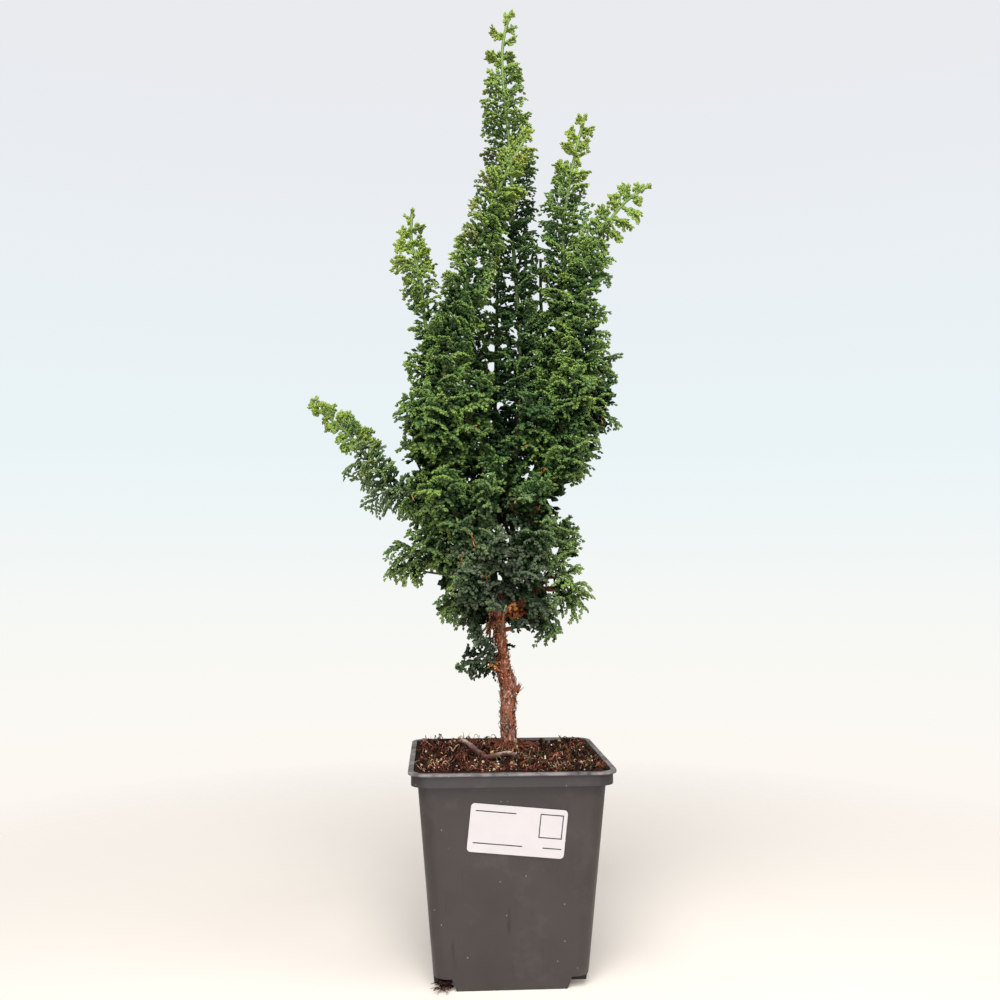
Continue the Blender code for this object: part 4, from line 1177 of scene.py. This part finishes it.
label = {
    "size": (50, 25), "thick": 0.4, "corner": 2, "x": 2.2, "z": 81.8, "tilt": -5.5, "gap": 0.3, "ink": 0.05,
    "line": 0.55,
    "rules": [(-22.3, -1.5, 8.9), (-22.3, 3.2, -7.6), (13.6, 23.4, -7.6)],  # from x, to x, y
    "square": (11.2, 22.8, -2.3, 9.6),  # x from and to, y from and to
}


def labelPlace():
    height = pot["height"] - pot["collarHeight"]
    lean = (pot["bodyTop"] - pot["bodyFoot"]) / 2 / height
    slope = math.atan(lean)
    wallY = -(pot["bodyFoot"] / 2 + lean * label["z"])
    outwards = Vector((0, -math.cos(slope), -math.sin(slope)))
    place = Vector((label["x"], wallY, label["z"])) * mm + outwards * label["gap"] * mm
    return (Matrix.Translation(place) @ Matrix.Rotation(math.pi / 2 + slope, 4, "X")
            @ Matrix.Rotation(math.radians(label["tilt"]), 4, "Z"))


def onLabel(points):
    place = labelPlace()
    return [tuple(place @ Vector(p)) for p in np.asarray(points) * mm]


def makeLabel():
    corner = label["corner"]
    wide, high = [size / 2 - corner for size in label["size"]]
    outline = []
    for signX, signY, quarter in ((1, 1, 0), (-1, 1, 1), (-1, -1, 2), (1, -1, 3)):
        for a in np.linspace(0, math.pi / 2, 9) + quarter * math.pi / 2:
            outline.append((signX * wide + corner * math.cos(a), signY * high + corner * math.sin(a)))
    outline = np.array(outline)
    edges = ((0.0, 1.0), (label["thick"] * 0.7, 1.0), (label["thick"], 0.993))  # height and share of the size
    rings = [np.column_stack([outline * share, np.full(len(outline), z)]) for z, share in edges]
    points, faces = loft(rings)
    newPiece("paperLabel", onLabel(points), faces, paperLook, ["label"], smooth=False)

    bag = MeshBag()
    half = label["line"] / 2
    x0, x1, y0, y1 = label["square"]
    bars = [(a, b, y - half, y + half) for a, b, y in [*label["rules"], (x0, x1, y0), (x0, x1, y1)]]
    bars += [(x - half, x + half, y0 - half, y1 + half) for x in (x0, x1)]
    for a, b, c, d in bars:
        square = np.array([(a, c), (b, c), (b, d), (a, d)])
        rings = [np.column_stack([square, np.full(4, label["thick"] + z)]) for z in (-0.05, label["ink"])]
        points, faces = loft(rings)
        bag.add(onLabel(points), faces, (0, 0, 0, 1))
    bag.piece("labelRules", inkLook, "label_paper")


# Soil

soil = {
    "level": 110.4, "mound": 4, "moundReach": 26, "lump": 0.9, "hollow": 5, "hollowAt": (21, 37),
    "hollowReach": 15, "bareShare": 0.8, "dip": 1.8, "dipAt": (-9, -21), "dipReach": 11, "edge": (107, 112.3),
    "heap": 1.3, "heapReach": 7, "trunk": (3, 10.5), "rings": 46, "gap": 0.3,
    # how many of each kind, and their sizes in millimetres, from and to
    "fibres": 2800, "fibreLong": (2.5, 9), "fibreRise": 3.6, "riseInDip": 0.8, "fibreThick": (0.14, 0.36),
    "crumbs": 1150, "crumbSize": (0.4, 1.5), "perlite": 270, "perliteSize": (0.22, 0.75),
    "grains": 46, "grainSize": (0.6, 1.3), "moss": 1700, "mossLong": (1.8, 4.2), "mossWide": 0.75,
    "wisps": 70, "wispLong": (2.5, 7), "wispWide": 0.6,
    "earth": [(0.010, 0.004, 0.003), (0.038, 0.012, 0.007), (0.018, 0.007, 0.004), (0.008, 0.004, 0.003)],
    "strands": [(0.230, 0.066, 0.032), (0.135, 0.036, 0.020), (0.040, 0.014, 0.009), (0.380, 0.215, 0.135),
                (0.016, 0.007, 0.005), (0.070, 0.021, 0.012), (0.028, 0.011, 0.008), (0.090, 0.030, 0.018)],
    "white": [(0.80, 0.77, 0.72), (0.62, 0.54, 0.45), (0.50, 0.42, 0.33)],
    "yellow": [(0.55, 0.40, 0.14), (0.50, 0.35, 0.18), (0.56, 0.46, 0.28)],
    "green": [(0.065, 0.080, 0.022), (0.110, 0.115, 0.040), (0.035, 0.045, 0.016), (0.160, 0.150, 0.070),
              (0.020, 0.027, 0.010)],
}


def bell(x, y, spot, reach):
    # one at the spot and less further off, all but x and y in millimetres
    return math.exp(-((x / mm - spot[0]) ** 2 + (y / mm - spot[1]) ** 2) / reach ** 2)


def soilHeight(x, y):
    # in metres: a mound round the trunk, a hollow behind, a dip in front, lumps, clods, a heap at the wall
    mound = soil["mound"] * bell(x, y, soil["trunk"], soil["moundReach"])
    hollow = soil["hollow"] * bell(x, y, soil["hollowAt"], soil["hollowReach"])
    dip = soil["dip"] * bell(x, y, soil["dipAt"], soil["dipReach"])
    lumps = (math.sin(410 * x + 1.3) * math.sin(370 * y + 0.4) + 0.7 * math.sin(830 * x - 560 * y + 2.0)
             + 0.5 * math.sin(640 * x + 1020 * y + 0.7))
    clods = 1.9 * noise.noise((x * 260, y * 260, 0.3)) + 1.0 * noise.noise((x * 600, y * 600, 5.1))
    fromWall = pot["collar"] / 2 - pot["wall"] - max(abs(x), abs(y)) / mm
    heap = soil["heap"] * math.exp(-(fromWall / soil["heapReach"]) ** 2)
    return (soil["level"] + mound - hollow + soil["lump"] * lumps + clods + heap - dip) * mm


def nearSpot(x, y, spot, reach):
    return math.hypot(x / mm - spot[0], y / mm - spot[1]) < reach


def makeSoil():
    rings = cavityRings(soil["gap"])
    edge = rings[-1]
    low, high = soil["edge"]
    for ring in range(soil["rings"]):
        share = 1 - ring / soil["rings"]
        level = [(x * share, y * share, soilHeight(x * share, y * share)) for x, y, _ in edge]
        if ring < 3:
            level = [(x, y, clamp(z, low * mm, high * mm)) for x, y, z in level]
        rings.append(np.array(level))
    corners = [recessBlock(x, y, pot["wall"] + soil["gap"]) for x in (-1, 1) for y in (-1, 1)]
    made = cutAway(roughSolid(rings), corners)
    points = [tuple(v.co) for v in made.data.vertices]
    faces = [list(face.vertices) for face in made.data.polygons]
    bpy.data.objects.remove(made)
    picks = [int(3.99 * clamp(0.5 + 0.8 * noise.noise(Vector(p) * 420))) for p in points]
    bag = MeshBag()
    bag.add(points, faces, np.column_stack([np.array(soil["earth"])[picks], np.ones(len(points))]))
    bag.piece("pottingSoil", soilLook, "soil", ["soil"])


def spotOnSoil(rng, inset=3.0):
    reach = pot["collar"] / 2 - pot["wall"] - inset
    while True:
        x, y = rng.uniform(-reach, reach), rng.uniform(-reach, reach)
        if abs(x) + abs(y) < 2 * reach - 4:
            return x * mm, y * mm


def upwards(rng, spread):
    return (rng.gauss(0, spread), rng.gauss(0, spread), 1)


def makePeat():
    rng = random.Random("peat")
    bag = MeshBag()
    for _ in range(soil["fibres"]):
        x, y = spotOnSoil(rng, 5.0)
        if nearSpot(x, y, soil["hollowAt"], 0.9 * soil["hollowReach"]) and rng.random() < soil["bareShare"]:
            continue
        inDip = nearSpot(x, y, soil["dipAt"], 1.2 * soil["dipReach"])
        most = (soil["riseInDip"] if inDip else soil["fibreRise"]) * mm
        clump = clamp(1.05 + 2.1 * noise.noise((x * 130, y * 130, 3.3)), 0.25, 1.8)
        addFibre(bag, rng, (x, y), rng.uniform(0, 6.28), within(rng, soil["fibreLong"]),
                 rng.uniform(0, 1) ** 2 * most, within(rng, soil["fibreThick"]),
                 clump * np.array(rng.choice(soil["strands"])), soilHeight)
    for _ in range(soil["crumbs"]):
        x, y = spotOnSoil(rng)
        size = within(rng, soil["crumbSize"])
        addLump(bag, rng, crumb, (x, y, soilHeight(x, y) + 0.3 * size), size, rng.uniform(0.5, 0.9), 0.16,
                rng.choice(soil["earth"] + soil["strands"][:3]))
    for _ in range(soil["moss"]):
        x, y = spotOnSoil(rng)
        if noise.noise((x * 60 + 3, y * 60, 0)) + 9 * x < 0.12:  # it grows in patches, more on the right
            continue
        addSliver(bag, (x, y, soilHeight(x, y)), upwards(rng, 0.7), (0, -1, 0.1),
                  within(rng, soil["mossLong"]), soil["mossWide"] * mm, 0.5 * mm, rng.choice(soil["green"]))
    for _ in range(soil["wisps"]):
        x, y = spotOnSoil(rng, 2.5)
        tint = rng.choice(soil["strands"] + soil["green"])
        for _ in range(3):
            addSliver(bag, (x, y, soilHeight(x, y) - 0.5 * mm), upwards(rng, 0.6), (0, -1, 0.1),
                      within(rng, soil["wispLong"]), soil["wispWide"] * mm, 0.5 * mm, tint, thorn)
    bag.piece("peatAndMoss", soilLook, "soil")

    grains = MeshBag()
    for tints, shape, count, sizes in (("white", crumb, soil["perlite"], soil["perliteSize"]),
                                       ("yellow", stone, soil["grains"], soil["grainSize"])):
        for _ in range(count):
            x, y = spotOnSoil(rng, 4.0)
            size = within(rng, sizes)
            addLump(grains, rng, shape, (x, y, soilHeight(x, y) + 0.8 * size + 0.4 * mm), size, 0.8, 0.10,
                    rng.choice(soil[tints]))
    grains.piece("perliteAndGrains", soilLook, "soil")


# Roots

root = {
    "route": [
        (-29, 23, 108), (-27.5, 21.5, 113), (-25, 18, 115.8), (-22, 13, 115.6), (-18.5, 4, 114.4),
        (-15, -6, 112.9), (-12, -11, 112), (-6.5, -12, 112.9), (-1.5, -11.5, 114), (2.5, -12, 113.4),
        (5, -12.5, 110.8), (5.8, -12.8, 107),
    ],
    "radius": 1.85, "skin": (0.120, 0.052, 0.038), "dark": (0.018, 0.009, 0.007), "highlight": (0.62, 0.47, 0.40),
    "highlightAt": [(-24.5, 4.5), (-1.0, 5.0)],  # x and reach in millimetres of the places where the painted highlight on top is strongest
    "fine": 120, "fineLong": (5, 17), "fineRise": (0.3, 3), "fineThick": (0.3, 0.8), "fineFrom": 3.6,
    "fineTints": [(0.20, 0.060, 0.030), (0.13, 0.045, 0.025)],
    # what comes out at a corner of the pot's foot: how many roots and crumbs, and their sizes
    "atFoot": 26, "atFootLong": (3, 8), "atFootThick": (0.18, 0.40), "crumbsAtFoot": 40,
    "crumbSize": (0.5, 1.2),
}


def makeRoots():
    route = smoothRoute(np.array(root["route"], float) * mm, 0.6 * mm)
    share = np.linspace(0, 1, len(route))
    radii = root["radius"] * mm * (0.86 + 0.20 * np.sin(math.pi * share) + 0.05 * np.sin(37 * share))
    points, faces = tube(route, radii, 14)
    centres = np.repeat(route, 14, axis=0)
    rough = np.array([0.10 * noise.noise(Vector(p) * 900) + 0.05 * noise.noise(Vector(p) * 2600)
                      for p in points])
    top = (points - centres)[:, 2] / (root["radius"] * mm)
    points = centres + (points - centres) * (1 + rough[:, None])
    # painted shade: the skin darkens towards the root's underside
    lit = np.clip(0.35 + 0.7 * top, 0, 1)[:, None]
    skin = np.array(root["dark"]) + (np.array(root["skin"]) - root["dark"]) * lit
    worn = np.max([1.4 - abs(points[:, 0] / mm - place) / reach for place, reach in root["highlightAt"]], axis=0)
    # painted highlight: a pale colour on the root's top, strongest near the given places
    highlight = (np.clip(1.6 * top - 0.75 + 7 * rough, 0, 1) * np.clip(worn, 0.08, 1))[:, None]
    tints = np.column_stack([skin + (np.array(root["highlight"]) - skin) * highlight, np.ones(len(points))])
    bag = MeshBag()
    bag.add(points, faces, tints)
    bag.piece("rootAtSurface", rootLook, "root_bark", ["surface_root"])

    rng = random.Random("roots")
    fine = MeshBag()
    middle = np.array(soil["trunk"]) * mm
    for _ in range(root["fine"]):  # fine roots that leave the foot of the trunk
        angle = rng.uniform(0, 6.28)
        start = middle + root["fineFrom"] * mm * np.array([math.cos(angle), math.sin(angle)])
        addFibre(fine, rng, start, angle + rng.gauss(0, 0.4), within(rng, root["fineLong"]),
                 within(rng, root["fineRise"]), within(rng, root["fineThick"]), rng.choice(root["fineTints"]),
                 soilHeight)
    for _ in range(root["atFoot"]):
        start = [within(rng, ends) for ends in ((-37, -31), (-39, -34), (0.3, 4.0))]
        addFibre(fine, rng, start, rng.uniform(3.1, 5.2), within(rng, root["atFootLong"]), 0.4 * mm,
                 within(rng, root["atFootThick"]), rng.choice(soil["strands"][1:3]))
    for _ in range(root["crumbsAtFoot"]):
        centre = [within(rng, ends) for ends in ((-38, -31), (-40, -33), (0.6, 4.5))]
        addLump(fine, rng, crumb, centre, within(rng, root["crumbSize"]), 0.8, 0.16,
                rng.choice(soil["earth"]))
    fine.piece("fineRoots", rootLook, "soil")


# Trunk and limbs

trunk = {
    "voxel": 0.72 * mm, "furrow": 0.42 * mm, "furrowsTo": 0.2, "flakes": 900, "hairs": 110,
    "stub": [(1.6, 5.6, 143.5), (5.4, 5.0, 145.0), (7.6, 4.6, 147.5)], "stubRadius": (2.2, 1.5, 0.8),
    "spikesAt": (6.0, 4.4, 145.0), "spikes": 16, "spikeLong": (4.0, 7.5),
    # lengths, widths and thicknesses in millimetres, from and to
    "flakeSize": [(1.2, 4.2), (0.6, 1.8), (0.25, 0.6)], "curlSize": [(2.0, 5.0), (0.7, 1.8), (0.3, 0.7)],
    "hairLong": (1.0, 2.6),
    "barkTo": (0.112, 0.202), "hairsTo": (0.114, 0.200), "highFrom": 0.152,  # heights in metres
    "orangeShare": (0.05, 0.30), "lichenShare": 0.25,
    "flakeTints": [(0.34, 0.110, 0.055), (0.20, 0.070, 0.040), (0.080, 0.032, 0.022), (0.68, 0.48, 0.38),
                   (0.54, 0.32, 0.23)],
    "orange": [(0.62, 0.200, 0.060), (0.46, 0.110, 0.040)],
    "lichen": [(0.30, 0.25, 0.18), (0.24, 0.23, 0.15)],
    # boxes in millimetres, from and to, of loose curls of bark, and how many are in each
    "curls": [
        ((-11, -3, 181), (-5, 1, 191), 46), ((-10, -3, 172), (-5, 1, 182), 34),
        ((-8, -3, 159), (-4, 0, 163), 12), ((-4, -3, 155), (1, 0, 158), 12),
        ((-6, -3, 184), (-2, 0, 191), 14),
    ],
}


def makeWood():
    bag = MeshBag()
    plain = (0, 0, 0, 1)
    for name, line in woodLines.items():
        thinned = line[::2] if name == "trunk" else line[::3]
        swell = np.array([1 + 0.05 * noise.noise((0, 0, z * 90)) for z in thinned[:, 2]])
        bag.add(*tube(thinned[:, :3], thinned[:, 3] * swell, 20 if name == "trunk" else 10), plain)
    for route in routes.values():
        stem = route[:round(leafShoot["twigLength"] / mm) + 2:2]
        bag.add(*tube(stem, np.linspace(1.5, 1.25, len(stem)) * mm, 8), plain)
    stub = np.array(trunk["stub"]) * mm
    bag.add(*tube(stub, np.array(trunk["stubRadius"]) * mm, 10), plain)
    wood = bag.piece("trunkAndLimbs", barkLook, "bark", ["trunk_and_limbs"])
    join = wood.modifiers.new("join", "REMESH")
    join.mode = "VOXEL"
    join.voxel_size = trunk["voxel"]
    join.use_smooth_shade = True
    made = applyModifiers(wood)
    made.materials.clear()
    made.materials.append(barkLook)
    points = np.array([v.co for v in made.vertices])
    ways = np.array([v.normal for v in made.vertices])
    ridges = [noise.noise((x * 650, y * 650, z * 150)) + 0.6 * noise.noise((x * 1500, y * 1500, z * 420))
              for x, y, z in points]
    depth = trunk["furrow"] * np.where(points[:, 2] < trunk["furrowsTo"], 1.0, 0.5)
    made.vertices.foreach_set("co", (points + ways * (depth * ridges)[:, None]).ravel())
    made.update()


def barkSpot(rng, low, high):
    # a place on the bark and the way out from it
    line = woodLines["trunk"]
    row = line[rng.randrange(len(line))]
    while not low < row[2] < high:
        row = line[rng.randrange(len(line))]
    angle = rng.uniform(0, 2 * math.pi)
    outward = np.array([math.cos(angle), math.sin(angle), 0.0])
    return row[:3] + outward * row[3] * 0.97, outward


def makeFlakes():
    rng = random.Random("bark")
    bag = MeshBag()
    for _ in range(trunk["flakes"]):
        spot, outward = barkSpot(rng, *trunk["barkTo"])
        high = spot[2] > trunk["highFrom"]
        tints = trunk["flakeTints"]
        if rng.random() < trunk["orangeShare"][int(high)]:
            tints = trunk["orange"]
        elif not high and rng.random() < trunk["lichenShare"]:
            tints = trunk["lichen"]
        upright = rng.choice((-1, 1)) * np.array([rng.gauss(0, 0.25), rng.gauss(0, 0.25), 1.0])
        way = upright + outward * rng.uniform(0.0, 0.5)
        size = [within(rng, ends) for ends in trunk["flakeSize"]]
        addSliver(bag, spot, way, outward, *size, rng.choice(tints))
    for low, high, count in trunk["curls"]:  # bark that has come off in curls
        for _ in range(count):
            start = np.array([rng.uniform(a, b) for a, b in zip(low, high)]) * mm
            way = np.array([rng.gauss(-0.3, 0.6), rng.gauss(-0.2, 0.5), rng.gauss(-0.4, 0.7)])
            size = [within(rng, ends) for ends in trunk["curlSize"]]
            tint = rng.choice(trunk["flakeTints"] + trunk["orange"] * 2)
            addSliver(bag, start, way, (0, -1, 0.3), *size, tint)
    for _ in range(trunk["hairs"]):
        spot, outward = barkSpot(rng, *trunk["hairsTo"])
        way = outward + np.array([rng.gauss(0, 0.4), rng.gauss(0, 0.4), rng.gauss(0.2, 0.5)])
        addSliver(bag, spot, way, (0, 0, 1), within(rng, trunk["hairLong"]), 0.45 * mm, 0.35 * mm,
                  rng.choice(trunk["flakeTints"]), thorn)
    stub = np.array(trunk["spikesAt"]) * mm
    for _ in range(trunk["spikes"]):  # the splintered end of the stub
        way = (0.35 + rng.gauss(0, 0.30), rng.gauss(0, 0.30), 1.0 + rng.gauss(0, 0.2))
        addSliver(bag, stub, way, (0, -1, 0.2), within(rng, trunk["spikeLong"]), 1.3 * mm, 0.9 * mm,
                  rng.choice(trunk["flakeTints"] + trunk["orange"]), thorn)
    bag.piece("barkFlakes", flakeLook, "bark")


withered = {
    "colours": [(0.0, (0.075, 0.022, 0.010)), (0.45, (0.330, 0.095, 0.030)), (0.75, (0.640, 0.250, 0.055)),
                (1.0, (0.700, 0.440, 0.230))],  # from dull to bright
    # foot and tip of each dead spray, in millimetres, and how bright it is
    "sprays": [
        ((-1.5, -12, 190.5), (1.5, -17, 195.5), 0.78), ((-1.5, -12, 190.5), (3.8, -16, 196), 0.66),
        ((-1, -12, 190), (8, -15, 193), 0.24), ((-1, -12, 189.5), (8.5, -14, 190), 0.14),
        ((-1.5, -12, 189.5), (5, -17, 189.5), 0.34), ((-3, -2, 163), (-10, -5, 161.5), 0.7),
        ((10, 0, 243), (4, -13, 251.5), 0.12), ((10, 0, 243), (11.5, -14, 253), 0.2),
        ((12, 0, 250), (8, -14, 247), 0.1), ((12, 0, 252), (14.5, -13, 247.5), 0.18),
        ((8, 0, 244), (8, -14, 250.5), 0.26), ((-20, -9, 236), (-24, -21, 240), 0.62),
        ((-18, -9, 230), (-20.5, -21.5, 234), 0.52),
    ],
    # places seen from the front, x and z in millimetres, of dead bits on the crown, with direction, length
    # and brightness
    "bits": [
        (-24.3, 291, 0.1, 1, 5.5, 0.95), (-21, 297.5, 1, 0.1, 4.5, 0.75), (16.3, 295.5, 0.1, 1, 3, 0.75),
        (-54.5, 258, 0.5, -1, 4.5, 0.95), (-13.5, 276.5, 0.4, -1, 4, 1), (17, 270, 1, 0.3, 4.5, 0.45),
        (20, 270.5, 0.7, 0.8, 4, 0.4), (47.4, 319, -0.1, 1, 4.5, 0.9), (54.9, 303, 0.3, -1, 4, 0.7),
        (56, 308, 0.6, 0.5, 3, 0.6), (-41.9, 220, 0.5, 1, 4.5, 1), (-26, 216, 0.1, 1, 7, 0.3),
        (-10.6, 206, -0.2, 1, 7.5, 0.35), (-24, 240, 0.4, -1, 5, 0.75), (-21.5, 236.5, 0.6, -0.9, 5, 0.7),
        (-19.5, 232.5, 0.3, -1, 5, 0.65), (-17, 229, 0.5, -0.8, 4, 0.6), (11, 249, 0.9, 0.3, 7, 0.3),
        (13, 244, 0.8, -0.5, 6, 0.25), (17, 247, 0.4, 0.9, 6, 0.2), (-33, 232, 0.3, 1, 4, 0.15),
    ],
}


def makeWitheredLook():
    look, tree, shader = newLook("witheredLeaves", 0.8)
    shader.inputs["Specular IOR Level"].default_value = 0.15
    bright = addNode(tree, "ShaderNodeSeparateColor", {"Color": tintIn(tree)["Color"]}).outputs[0]
    spots = mapRange(tree, patchMask(tree, 900, 0.3, 0.7), 0, 1, -0.2, 0.2)
    colour = colourRamp(tree, maths(tree, "ADD", bright, spots), withered["colours"])
    return dress(look, colour, 1400, 0.4, 0.0004)


def makeWithered():
    rng = random.Random("withered")
    bag = MeshBag()
    upward = np.array([0, -0.5, 1.0])
    for foot, tip, bright in withered["sprays"]:
        foot, tip = np.array(foot) * mm, np.array(tip) * mm
        addFan(bag, rng, foot, tip, upward, "leader", bright - 0.3, everywhere=True)
    solids = [solidOf(name) for name in routes]
    for x, z, dx, dz, long, bright in withered["bits"]:
        way = unit(np.array([x, 0.0, z]) * mm - eye)
        hits = [tree.ray_cast(Vector(eye), Vector(way), 1.0)[3] for tree in solids]
        distance = min([hit for hit in hits if hit] + [0.58])
        before = 0.5 if inPlace(eye + way * distance, hollows) else 2.2
        start = eye + way * (distance - before * mm)
        addSliver(bag, start, (dx, -0.1, dz), (0, -1, 0.1), long * mm, 0.8 * mm, 0.6 * mm, (bright, 0, 0))
    bag.piece("witheredSprays", witheredLook, "foliage")


witheredLook = makeWitheredLook()
makePot()
makeLabel()
makeSoil()
makePeat()
makeRoots()
makeWood()
makeFlakes()
makeWithered()
print("pot, label, soil, roots and wood made")


# Stage

camera = {"yaw": 3.63, "pitch": 4.21, "lens": 35.4}


def makeCamera():
    data = bpy.data.cameras.new("camera")
    data.lens = camera["lens"]
    data.sensor_width = 36
    data.clip_start = 0.01
    data.clip_end = 20
    made = addObject("camera", data)
    made.location = Vector(eye)
    made.rotation_euler = (math.radians(90 + camera["pitch"]), 0, -math.radians(camera["yaw"]))
    scene.camera = made


studio = {
    "sky": [(-0.22, (0.985, 0.940, 0.880)), (-0.08, (0.947, 0.947, 0.905)), (0.12, (0.823, 0.905, 0.930)),
            (0.45, (0.815, 0.831, 0.863))],  # the backdrop's colour by the height of the line of sight
    "floor": (0.90, 0.83, 0.75), "floorGlow": 0.07, "floorReach": 1.8, "floorFade": (0.18, 0.60),
    "skySeen": 1.0, "skyLight": 0.34,
    # name, place, target, size and power of each softbox
    "lights": [
        ("keyLight", (-0.12, -0.85, 1.20), (0, 0, 0.30), 1.0, 24.0),
        ("rightLight", (1.1, -0.5, 0.7), (0, 0, 0.28), 0.8, 5.0),
        ("frontLight", (-0.2, -1.3, 0.22), (0, 0, 0.16), 0.8, 5.0),
    ],
}


def makeFloor():
    look, tree, shader = newLook("floorPaper", 0.7)
    away = addNode(tree, "ShaderNodeVectorMath", {0: objectPlace(tree)}, operation="LENGTH")
    for key in ("Base Color", "Emission Color"):
        shader.inputs[key].default_value = (*studio["floor"], 1)
    shader.inputs["Emission Strength"].default_value = studio["floorGlow"]
    seen = mapRange(tree, away.outputs["Value"], *studio["floorFade"], 1.0, 0.0)
    tree.links.new(seen, shader.inputs["Alpha"])
    reach = studio["floorReach"]
    turns = circle(96)
    points = [(0, 0, 0)] + [(reach * math.cos(a), reach * math.sin(a), 0) for a in turns]
    floor = addMesh("floor", points, [[0, 1 + i, 1 + (i + 1) % len(turns)] for i in range(len(turns))], look)


def makeWorld():
    world = bpy.data.worlds.new("studio")
    scene.world = world
    world.use_nodes = True
    tree = world.node_tree
    way = addNode(tree, "ShaderNodeTexCoord").outputs["Generated"]
    height = addNode(tree, "ShaderNodeSeparateXYZ", {0: way}).outputs[2]
    stops = [(place + 0.5, colour) for place, colour in studio["sky"]]
    back = tree.nodes["Background"]
    tree.links.new(colourRamp(tree, mapRange(tree, height, -0.5, 0.5), stops), back.inputs["Color"])
    seen = addNode(tree, "ShaderNodeLightPath").outputs["Is Camera Ray"]
    tree.links.new(mapRange(tree, seen, 0, 1, studio["skyLight"], studio["skySeen"]), back.inputs["Strength"])


def addSoftbox(name, place, target, size, power):
    data = bpy.data.lights.new(name, "AREA")
    data.shape = "SQUARE"
    data.size = size
    data.energy = power
    light = addObject(name, data)
    light.location = place
    light.rotation_euler = (Vector(target) - Vector(place)).to_track_quat("-Z", "Y").to_euler()


makeCamera()
makeFloor()
makeWorld()
for row in studio["lights"]:
    addSoftbox(*row)
scene.view_settings.view_transform = "Standard"
print("stage made")
